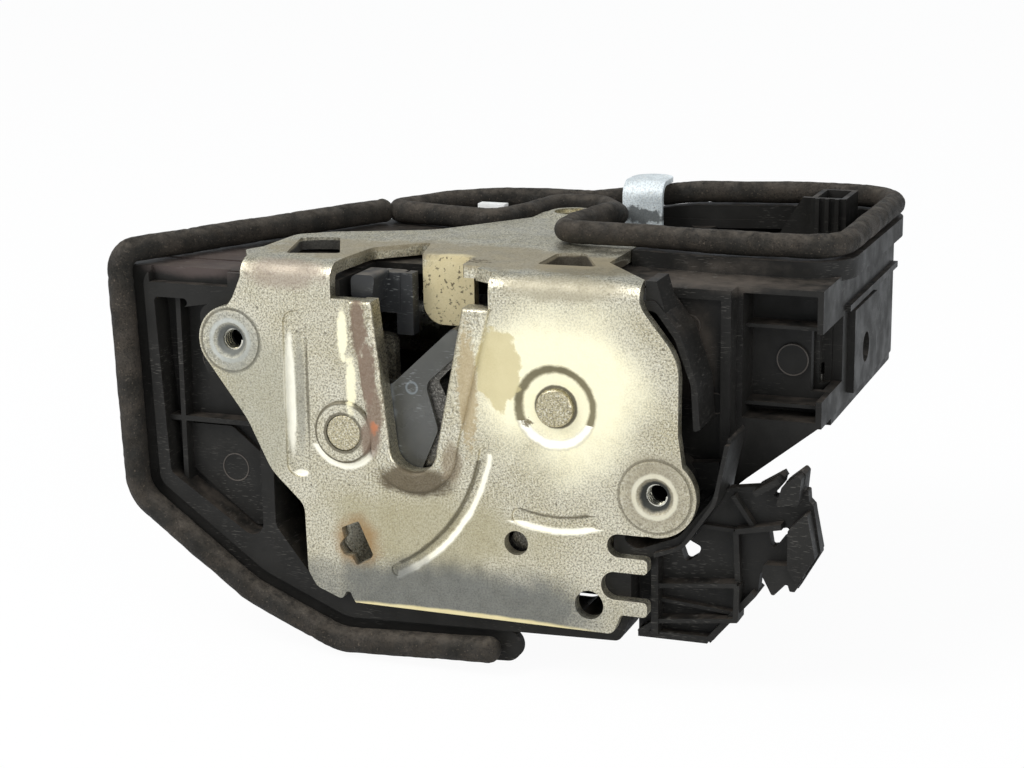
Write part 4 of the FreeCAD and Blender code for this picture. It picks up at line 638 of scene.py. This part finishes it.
# Marks, painted light and painted shade of the front plate, in the order in which they cover each other.
# First come broad painted light and shade.
PLATE_STAINS_AND_LIGHT = (
    StainOrPaintedLight((2.0, 0.0, -18.0), (36.0, 6.0, 13.0), srgb(176, 168, 138), 0.65, 0.6, 0.9, 80.0, 0.9),
    # Painted pool of light, cream, right of the mouth.
    StainOrPaintedLight((34.0, 0.0, 17.0), (27.0, 6.0, 25.0), CREAM, 0.92, 0.6, 0.8, 60.0, 0.7),
    StainOrPaintedLight((55.0, 0.0, -4.0), (11.0, 4.0, 11.0), srgb(160, 152, 132), 0.7, 0.5, 0.8, 120.0, 0.9),
    # Shade under the upper flange, and its front.
    StainOrPaintedLight((-33.0, 21.0, 39.6), (14.0, 19.0, 2.35), srgb(34, 32, 30), 0.95, 0.15, 0.05, 200.0, 0.1),
    StainOrPaintedLight((30.0, 21.0, 39.6), (14.0, 18.0, 2.35), srgb(58, 50, 36), 0.95, 0.15, 0.05, 200.0, 0.1),
    StainOrPaintedLight((36.0, 14.0, 42.0), (16.0, 12.0, 1.5), srgb(128, 118, 94), 0.75, 0.4, 0.8, 200.0, 0.7),
    # Light and shade along the upright step left of the mouth, then along both pressed curves.
    StainOrPaintedLight((-31.0, 0.0, 11.6), (1.6, 6.0, 17.5), LIT, 0.95, 0.4, 0.4, 400.0, 0.2),
    StainOrPaintedLight((-26.6, 0.0, 11.6), (0.8, 6.0, 17.5), SHADED, 0.7, 0.5, 0.3, 400.0, 0.9),
    StainOrPaintedLight((-28.6, 0.6, 11.6), (1.6, 6.0, 17.0), srgb(150, 148, 138), 0.6, 0.5, 0.4, 400.0, 0.9),
    StainOrPaintedLight((-28.8, 0.0, -6.9), (2.6, 6.0, 1.0), LIT, 0.9, 0.5, 0.3, 400.0, 0.4),
    ArcMark((-23.3, 8.4), 38.8, 0.7, SHADED, 0.7, -5.0, 0.0),
    ArcMark((-23.3, 8.4), 41.2, 1.1, LIT, 0.95, -5.6, 1.5, 0.5),
    ArcMark((32.5, 15.5), 26.8, 0.7, SHADED, 0.7, 20.0, -10.0),
    ArcMark((32.5, 15.5), 30.0, 1.0, LIT, 0.95, 20.0, -13.0, 0.5),
    # Painted light and shade round the heads of the two pins, right and left.
    ArcMark((32.6, 13.5), 8.5, 1.4, srgb(120, 112, 84), 0.9),
    ArcMark((32.6, 13.5), 8.4, 1.4, LIT, 0.95, 20.0, 10.0, 0.5),
    ArcMark((32.6, 13.5), 4.5, 0.6, SHADED, 0.9),
    ArcMark((-17.5, 3.8), 6.9, 0.6, SHADED, 0.85),
    ArcMark((-17.5, 3.8), 7.9, 1.1, LIT, 0.9, -26.0, 0.5, 0.5),
    ArcMark((-17.5, 3.8), 4.4, 0.6, SHADED, 0.8),
    # Painted light and shade on the rims and dishes of the two screw holes, left and right: shade in the
    # hole, a ring of highlight, a shaded outer edge.
    ArcMark((-45.3, 23.0), 2.7, 1.3, srgb(66, 68, 68), 0.95),
    ArcMark((-45.3, 23.0), 4.7, 0.8, srgb(232, 234, 228), 0.8),
    ArcMark((-45.3, 23.0), 7.3, 0.5, SHADED, 0.7),
    ArcMark((55.2, -4.4), 2.7, 1.3, srgb(66, 68, 66), 0.95),
    ArcMark((55.2, -4.4), 4.7, 0.8, srgb(228, 224, 206), 0.8),
    ArcMark((55.2, -4.4), 8.2, 0.5, SHADED, 0.5, 46.0),
    # Painted shade along the lower edge, a tone on the upper flange and a painted grey sheen on the left
    # wing.
    StainOrPaintedLight((8.0, 0.0, -34.0), (52.0, 6.0, 13.0), srgb(112, 114, 112), 0.85, 0.6, 0.8, 80.0, 0.95),
    StainOrPaintedLight((0.0, 18.0, 42.0), (50.0, 16.0, 1.5), srgb(160, 148, 122), 0.7, 0.3, 0.8, 200.0, 0.8),
    StainOrPaintedLight((-38.0, 0.0, 8.0), (14.0, 6.0, 24.0), srgb(168, 166, 150), 0.5, 0.6, 0.8, 90.0, 0.95),
    StainOrPaintedLight((-31.0, 1.5, 39.0), (13.0, 5.0, 4.5), srgb(158, 144, 130), 0.75, 0.5, 0.8, 200.0, 0.5),
    StainOrPaintedLight((34.0, 1.5, 39.5), (18.0, 5.0, 3.5), srgb(170, 162, 140), 0.75, 0.5, 0.8, 200.0, 0.7),
    # Worn and dirty lip round the mouth.
    StainOrPaintedLight((-17.4, -0.5, 26.0), (1.6, 2.0, 8.0), CREAM, 0.9, 0.4, 0.9, 700.0, 0.6),
    StainOrPaintedLight((-15.6, -0.5, 15.0), (1.6, 2.0, 8.0), CREAM, 0.85, 0.4, 0.9, 700.0, 0.6),
    StainOrPaintedLight((-13.2, -0.8, 28.0), (2.6, 3.0, 9.0), LIP_BROWN, 0.9, 0.4, 1.0, 700.0, 0.4),
    StainOrPaintedLight((-11.2, -0.8, 18.0), (2.6, 3.0, 9.0), LIP_BROWN, 0.9, 0.4, 1.0, 700.0, 0.4),
    StainOrPaintedLight((-9.6, -0.8, 9.0), (2.4, 3.0, 8.0), LIP_BROWN, 0.85, 0.4, 1.0, 700.0, 0.4),
    StainOrPaintedLight((-0.7, -0.8, -6.0), (11.5, 3.0, 4.6), srgb(88, 76, 56), 0.9, 0.4, 0.6, 300.0, 0.4),
    StainOrPaintedLight((-11.0, -0.8, 3.0), (3.2, 3.0, 6.0), LIP_BROWN, 0.85, 0.5, 0.7, 400.0, 0.35),
    StainOrPaintedLight((12.6, -0.8, 16.0), (2.6, 3.0, 17.0), srgb(176, 158, 122), 0.8, 0.4, 1.4, 900.0, 0.5),
    StainOrPaintedLight((8.6, -0.8, -1.0), (3.0, 3.0, 6.0), srgb(128, 112, 88), 0.7, 0.5, 0.7, 300.0, 0.4),
    # Single marks: dirt right of the mouth, rust, the lower edge's light line and the mouth's back wall.
    StainOrPaintedLight((19.6, 0.0, 21.0), (5.2, 3.0, 9.5), srgb(198, 186, 142), 0.85, 0.12, 0.9, 260.0, 0.4),
    StainOrPaintedLight((26.0, 0.0, 9.6), (1.5, 2.0, 1.1), srgb(96, 84, 52), 0.9, 0.5, 2.4, 1200.0, 0.2),
    StainOrPaintedLight((-9.8, -0.5, 5.8), (1.3, 3.0, 2.1), RUST, 0.75, 0.6, 1.6, 700.0, 0.1),
    StainOrPaintedLight((-15.2, 0.0, -21.6), (7.4, 3.0, 7.8), srgb(140, 104, 52), 0.75, 0.6, 0.6, 300.0, 0.3),
    StainOrPaintedLight((10.0, 0.0, -37.2), (38.0, 4.0, 1.9), srgb(232, 220, 176), 0.9, 0.3, 0.3, 200.0, 0.6),
    StainOrPaintedLight((-45.3, 0.0, 23.0), (8.4, 3.0, 9.0), srgb(150, 152, 148), 0.5, 0.4, 0.8, 300.0, 0.9),
    StainOrPaintedLight((1.5, 17.5, 33.0), (9.0, 4.0, 14.0), srgb(214, 200, 158), 0.9, 0.3, 0.7, 200.0, 0.4),
    StainOrPaintedLight((1.5, 13.2, 33.0), (12.0, 3.0, 16.0), srgb(70, 58, 38), 0.85, 0.25, 4.2, 1100.0, 0.1),
)
BLACK_STAINS_AND_SHEEN = (
    # Painted sheen on the upper left of the deck, then two lighter patches on the right.
    StainOrPaintedLight((-56.0, 12.0, 38.0), (16.0, 22.0, 3.0), srgb(92, 80, 76), 0.6, 0.6, 0.8, 120.0),
    StainOrPaintedLight((62.0, 24.0, 40.0), (26.0, 12.0, 4.0), srgb(96, 88, 80), 0.6, 0.6, 0.9, 140.0),
    StainOrPaintedLight((58.0, 16.4, 24.0), (8.0, 3.0, 14.0), srgb(84, 76, 68), 0.5, 0.7, 0.9, 200.0),
)
CATCH_STAINS_AND_HIGHLIGHT = (
    StainOrPaintedLight((-9.0, 4.2, 12.0), (3.0, 2.0, 8.0), srgb(150, 156, 160), 0.5, 0.8, 2.2, 260.0),
    StainOrPaintedLight((2.0, 4.2, 6.0), (6.0, 2.0, 9.0), srgb(84, 84, 82), 0.5, 0.8, 1.2, 160.0),
    # Painted highlight: the small light bluish ring.
    ArcMark((-2.7, 14.2), 1.3, 0.35, srgb(128, 136, 140), 0.6),
    ArcMark((4.2, 13.1), 1.6, 0.6, srgb(34, 40, 46), 0.9),
    ArcMark((30.0, -10.0), 44.6, 0.6, srgb(20, 20, 22), 0.9, -4.6, 29.5),
)
STRAP_STAINS = (
    StainOrPaintedLight((24.0, 90.0, 40.0), (8.0, 3.0, 2.6), srgb(58, 60, 58), 0.85, 0.3, 2.2, 420.0, 0.6),
    StainOrPaintedLight((24.0, 90.0, 33.0), (7.0, 3.0, 3.0), srgb(70, 72, 70), 0.8, 0.4, 2.4, 520.0, 0.6),
)
PLATE = ZincCoat("zinc_plate", srgb(214, 208, 188), roughness=0.44, stains_and_light=PLATE_STAINS_AND_LIGHT)
LEVERS = ZincCoat("zinc_lever", srgb(206, 200, 182), roughness=0.4)
PINS = ZincCoat("zinc_pin", srgb(196, 186, 156), roughness=0.46)
# Painted reflection: the strap's near-white colour on a hardly metallic surface stands in for the pale room
# mirrored in its steel.
BRIGHT = ZincCoat("zinc_with_painted_reflection", srgb(240, 248, 250), roughness=0.4, metallic=0.05, speckle=0.3,
                  tint=srgb(120, 128, 132), dark=srgb(70, 72, 70), stains_and_light=STRAP_STAINS)
DARK_STEEL = ZincCoat("oiled_steel", srgb(96, 94, 90), roughness=0.38, tint=srgb(78, 74, 68),
                      dark=srgb(46, 42, 38), light=srgb(150, 146, 138))
THREAD = ZincCoat("cut_thread", srgb(214, 214, 208), roughness=0.22, speckle=0.2)
CATCH_COAT = Moulding("catch_coat", srgb(66, 66, 62), roughness=0.34, dust=0.2, scuff=srgb(176, 180, 182),
                      scuffs=0.7, stains_and_light=CATCH_STAINS_AND_HIGHLIGHT)
BLACK = Moulding("black_moulding", srgb(26, 25, 23), shine=0.2, dust=0.34, dust_colour=srgb(104, 94, 84),
                 stains_and_light=BLACK_STAINS_AND_SHEEN)
MARK = Moulding("moulding_mark", srgb(60, 54, 48), dust=0.3)
WHITE = Moulding("white_moulding", srgb(222, 220, 212), roughness=0.45, dust=0.15)
FOAM = FoamSkin("foam_skin", srgb(34, 32, 28), shine=0.25)
RUBBER = Moulding("rubber_skin", srgb(30, 31, 32), roughness=0.5, scuff=srgb(150, 152, 150), scuffs=0.6)
COPPER = ZincCoat("contact_strip", srgb(198, 160, 104), roughness=0.34, tint=srgb(170, 128, 82))
MOTOR_CAN = ZincCoat("motor_can", srgb(200, 200, 196), roughness=0.25, speckle=0.15)


@dataclass(frozen=True)
class Corner:
    """Corner of a cord's route, in millimetres, with its bend radius."""

    x: float
    y: float
    z: float
    bend: float = 0.0


@dataclass(frozen=True)
class FoamSeals:
    """The two foam cords: one in the front groove of the case, one round the screw tab and the well.

    The edge cord ends at the joint, where it is pressed a little into the loop. Deck and rim are the heights
    that the cords lie on. Lengths are in millimetres; a dent or a crease is a share of the radius.
    """

    edge_radius: float = 3.04
    loop_radius: float = 2.8
    press: float = 1.3
    deck: float = 38.65
    rim: float = 42.25
    sides: int = 22
    step: float = 0.9
    bend_steps: int = 12
    longest_cut: float = 0.47
    straight: float = 1.56
    thinnest_end: float = 0.05
    fullness: float = 0.97
    dents: tuple[tuple[float, float], ...] = ((0.09, 0.05), (0.5, 0.035))
    crease_scale: Point = (0.9, 1.4, 0.02)
    crease_start: float = 0.35
    crease_depth: float = 0.12
    joint: tuple[float, float] = (-37.2, 71.0)
    joint_way: tuple[float, float] = (0.17, 0.985)
    past_joint: tuple[float, float] = (1.0, 1.5)

    def edge_corners(self) -> list[Corner]:
        """Corners of the edge seal's middle line."""
        deck = self.deck + self.edge_radius
        return [Corner(19.0, 1.0, -44.2), Corner(-20.5, 1.0, -46.4, 14), Corner(-43.0, 1.0, -36.8, 20),
                Corner(-71.8, 1.0, -15.6, 9), Corner(-73.8, 1.0, deck, 4.4),
                Corner(self.joint[0] + self.past_joint[0], self.joint[1] + self.past_joint[1], deck)]

    def loop_corners(self) -> list[Corner]:
        """Corners of the loop seal's middle line."""
        deck = self.deck + self.loop_radius
        rim = self.rim + self.loop_radius
        return [Corner(self.joint[0], self.joint[1], deck, 4), Corner(-5.8, 65.6, deck, 5),
                Corner(-1.4, 78.0, deck, 12), Corner(1.2, 92.4, deck, 6), Corner(13.0, 92.8, deck, 6),
                Corner(20.4, 82.5, deck, 12), Corner(24.4, 64.0, rim, 16), Corner(21.2, 48.0, rim, 7),
                Corner(21.2, 37.2, rim, 3.8), Corner(40.0, 37.6, rim, 20), Corner(57.0, 35.0, rim, 30),
                Corner(86.3, 35.0, rim, 9), Corner(86.6, 103.5, rim, 12), Corner(66.0, 106.8, rim, 40),
                Corner(36.0, 100.0, rim, 20), Corner(9.0, 100.0, deck, 15), Corner(-17.0, 97.5, deck, 14),
                Corner(-27.0, 88.5, deck, 14)]

    def bend(self, before: Vector, corner: Vector, after: Vector, radius: float) -> list[Vector]:
        """Points of the round bend at a corner.

        Args:
            before: The corner before it.
            corner: The corner itself.
            after: The corner after it.
            radius: Radius of the bend.

        Returns:
            Points from the start of the bend to its end.
        """
        back = before - corner
        ahead = after - corner
        half = back.angle(ahead) / 2
        if radius <= 0 or half > self.straight:
            return [corner]
        cut = min(radius / math.tan(half), self.longest_cut * back.length, self.longest_cut * ahead.length)
        back.normalize()
        ahead.normalize()
        centre = corner + (back + ahead).normalized() * (cut / math.cos(half))
        first = corner + back * cut - centre
        last = corner + ahead * cut - centre
        size = first.length
        shares = [i / self.bend_steps for i in range(self.bend_steps + 1)]
        return [centre + first.normalized().slerp(last.normalized(), share) * size for share in shares]

    def line(self, corners: Sequence[Corner], closed: bool) -> list[Vector]:
        """Evenly spaced points along a route.

        Args:
            corners: The route's corners.
            closed: Whether it ends where it starts.

        Returns:
            The points, in millimetres.
        """
        places = [Vector((c.x, c.y, c.z)) for c in corners]
        rough: list[Vector] = []
        for i, corner in enumerate(corners):
            if not closed and i in (0, len(corners) - 1):
                rough.append(places[i])
            else:
                rough += self.bend(places[i - 1], places[i], places[(i + 1) % len(places)], corner.bend)
        if closed:
            rough.append(rough[0])
        lengths = [0.0]
        for a, b in zip(rough, rough[1:]):
            lengths.append(lengths[-1] + (b - a).length)
        count = round(lengths[-1] / self.step)
        points = []
        j = 0
        for i in range(count + (0 if closed else 1)):
            along = lengths[-1] * i / count
            while j < len(rough) - 2 and lengths[j + 1] < along:
                j += 1
            span = max(lengths[j + 1] - lengths[j], 1e-9)
            points.append(rough[j].lerp(rough[j + 1], (along - lengths[j]) / span))
        return points

    def skin(self, name: str, points: list[Vector], radius: float, closed: bool) -> bpy.types.Object:
        """Foam cord along a line, a little uneven and creased.

        Args:
            name: Name of the piece.
            points: Its middle line, in millimetres.
            radius: Its radius.
            closed: Whether it is a loop.

        Returns:
            The piece.
        """
        mesh = bmesh.new()
        rings = []
        side = Vector((0.0, 0.0, 1.0)) if closed else Vector((0.0, 1.0, 0.0))
        along, up, onward = self.crease_scale
        total = len(points)
        for i, point in enumerate(points):
            after = points[(i + 1) % total] if closed or i < total - 1 else point
            before = points[i - 1] if closed or i > 0 else point
            way = (after - before).normalized()
            side = (side - way * side.dot(way)).normalized()
            across = way.cross(side)
            start = i * self.step
            rounded = not closed and start <= radius
            round_end = math.sqrt(max(0.0, 1 - (1 - start / radius) ** 2)) if rounded else 1.0
            ring = []
            for k in range(self.sides):
                angle = 2 * math.pi * k / self.sides
                out = side * math.cos(angle) + across * math.sin(angle)
                place = point + out * radius
                dent = sum(noise.noise(place * scale) * depth for scale, depth in self.dents)
                fold = noise.noise(Vector((way.dot(place) * along, out.z * up, i * onward)))
                crease = max(0.0, fold - self.crease_start) * self.crease_depth
                size = radius * max(self.thinnest_end, round_end) * (self.fullness + dent - crease)
                ring.append(mesh.verts.new((point + out * size) * MM))
            rings.append(ring)
        if not closed:
            self.butt(mesh, rings, points)
        pairs = list(zip(rings, rings[1:])) + ([(rings[-1], rings[0])] if closed else [])
        for first, second in pairs:
            for k in range(self.sides):
                n = (k + 1) % self.sides
                mesh.faces.new((first[k], first[n], second[n], second[k]))
        if not closed:
            mesh.faces.new(list(reversed(rings[0])))
            mesh.faces.new(rings[-1])
        bmesh.ops.recalc_face_normals(mesh, faces=mesh.faces)
        for face in mesh.faces:
            face.smooth = len(face.verts) == 4
        data = bpy.data.meshes.new(name)
        mesh.to_mesh(data)
        mesh.free()
        piece = bpy.data.objects.new(name, data)
        bpy.context.scene.collection.objects.link(piece)
        return piece

    def butt(self, mesh: bmesh.types.BMesh, rings: list[list[bmesh.types.BMVert]],
             points: list[Vector]) -> None:
        """Cut the open cord's end flat where it is pressed into the loop seal.

        Args:
            mesh: The mesh that holds the rings.
            rings: Rings of the cord, shortened in place where they pass the cut.
            points: The cord's middle line.
        """
        way = (points[-1] - points[-2]).normalized()
        facing = Vector((*self.joint_way, 0.0))
        limit = Vector((*self.joint, 0.0)) - facing * (self.loop_radius - self.press)
        past = []
        for ring in rings:
            beyond = [max(0.0, (vert.co / MM - limit).dot(facing)) for vert in ring]
            for vert, distance in zip(ring, beyond):
                vert.co = (vert.co / MM - way * (distance / way.dot(facing))) * MM
            past.append(min(beyond) > 0)
        keep = past.index(True) + 1
        for ring in rings[keep:]:
            for vert in ring:
                mesh.verts.remove(vert)
        del rings[keep:]

    def build(self, shop: Workshop) -> None:
        """Make both cords in place of the plain ones."""
        cords = (("edge_seal", self.edge_corners(), self.edge_radius, False),
                 ("loop_seal", self.loop_corners(), self.loop_radius, True))
        for node, corners, radius, closed in cords:
            piece = self.skin("foam_" + node, self.line(corners, closed), radius, closed)
            shop.finish_piece(piece, "foam_" + node, FOAM, Body.LOCK)
            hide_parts(node)


@dataclass(frozen=True)
class ScrewThreads:
    """Threads of the two screw holes."""

    left: Point = (-45.3, 1.4, 23.0)
    right: Point = (55.2, 1.4, -4.4)
    pitch: float = 1.0
    turns: int = 4
    minor: float = 2.5
    depth: float = 0.28
    steps: int = 36
    crest: Point = (1.3, 1.6, 1.0)
    smooth_angle: float = 0.9

    def build(self, shop: Workshop) -> None:
        """Model one thread and copy it to the other hole."""
        bpy.ops.object.select_all(action="DESELECT")
        bpy.ops.mesh.primitive_circle_add(vertices=3, radius=self.depth * MM, location=mm(*self.left))
        thread = bpy.context.object
        bpy.ops.object.mode_set(mode="EDIT")
        bpy.ops.mesh.select_all(action="SELECT")
        bpy.ops.transform.resize(value=self.crest)
        bpy.ops.transform.translate(value=(self.minor * MM, 0, 0))
        bpy.ops.object.mode_set(mode="OBJECT")
        coil = thread.modifiers.new("coil", "SCREW")
        coil.axis = "Y"
        coil.angle = 2 * math.pi
        coil.screw_offset = self.pitch * MM
        coil.iterations = self.turns
        coil.steps = coil.render_steps = self.steps
        bpy.ops.object.modifier_apply(modifier=coil.name)
        bpy.ops.object.transform_apply(location=True, rotation=True, scale=True)
        bpy.ops.object.mode_set(mode="EDIT")
        bpy.ops.mesh.select_all(action="SELECT")
        bpy.ops.mesh.normals_make_consistent(inside=False)
        bpy.ops.object.mode_set(mode="OBJECT")
        bpy.ops.object.shade_smooth_by_angle(angle=self.smooth_angle)
        twin = thread.copy()
        twin.data = thread.data.copy()
        bpy.context.scene.collection.objects.link(twin)
        shift = Vector(mm(*self.right)) - Vector(mm(*self.left))
        twin.data.transform(Matrix.Translation(shift))
        shop.finish_piece(thread, "thread_left", THREAD, Body.LOCK)
        shop.finish_piece(twin, "thread_right", THREAD, Body.LOCK)


@dataclass(frozen=True)
class RingMark:
    """Thin round ridge left by the mould, on a face that looks forward."""

    name: str
    place: Point
    radius: float
    width: float = 0.28
    height: float = 0.12
    rounding: float = 0.036
    points: int = 48

    def build(self, shop: Workshop) -> None:
        """Model the ridge from a circle."""
        bpy.ops.object.select_all(action="DESELECT")
        bpy.ops.mesh.primitive_circle_add(vertices=self.points, radius=(self.radius - self.width) * MM,
                                          location=mm(*self.place), rotation=(math.pi / 2, 0, 0))
        ring = bpy.context.object
        bpy.ops.object.transform_apply(location=True, rotation=True, scale=True)
        bpy.ops.object.mode_set(mode="EDIT")
        bpy.ops.mesh.select_all(action="SELECT")
        bpy.ops.mesh.extrude_region()
        grow = self.radius / (self.radius - self.width)
        bpy.ops.transform.resize(value=(grow, 1, grow), center_override=mm(*self.place))
        bpy.ops.object.mode_set(mode="OBJECT")
        wall = ring.modifiers.new("wall", "SOLIDIFY")
        wall.thickness = self.height * MM
        wall.offset = 0
        bpy.ops.object.modifier_apply(modifier=wall.name)
        edge = ring.modifiers.new("edge", "BEVEL")
        edge.width = self.rounding * MM
        edge.segments = 2
        bpy.ops.object.modifier_apply(modifier=edge.name)
        shop.finish_piece(ring, self.name, MARK, Body.LOCK)


MOULD_MARKS = (
    RingMark("mark_panel_upper", (58.0, 16.15, 30.0), 2.4),
    RingMark("mark_panel_lower", (64.0, 16.15, 13.0), 2.4),
    RingMark("mark_pocket", (78.0, 28.15, 21.0), 3.6),
    RingMark("mark_case_left", (-55.0, 8.95, 16.0), 2.6),
    RingMark("mark_case_lower", (-49.5, 7.75, -9.5), 3.4),
)


def main() -> None:
    """Build and dress the whole lock."""
    Studio().build()
    shop = Workshop(Effects())
    shop.dress(PLATE, "latch_plate")
    shop.dress(LEVERS, "back_plate", "release_lever", "outside_lever", "inside_lever")
    shop.dress(PINS, "catch_pin", "pawl_pin")
    shop.dress(DARK_STEEL, "catch", "pawl", "catch_spring", "pawl_spring", "release_pin", "outside_pin",
               "cover_screw", "retaining_clip", "worm")
    shop.dress(CATCH_COAT, "catch_skin_front", "catch_skin_back")
    shop.dress(BLACK, "latch_case", "cable_bracket", "main_housing", "housing_cover", "worm_bearing",
               "connector_socket", "catch_switch", "pawl_switch")
    shop.dress(RUBBER, "bumper")
    shop.dress(BRIGHT, "steel_strap")
    shop.dress(COPPER, "connector_pins", "contact_track")
    shop.dress(MOTOR_CAN, "lock_motor")
    shop.dress(WHITE, "worm_wheel", "lock_slide")
    shop.dress(FOAM, "edge_seal", "loop_seal")
    FoamSeals().build(shop)
    ScrewThreads().build(shop)
    for mark in MOULD_MARKS:
        mark.build(shop)


if __name__ == "__main__":
    main()
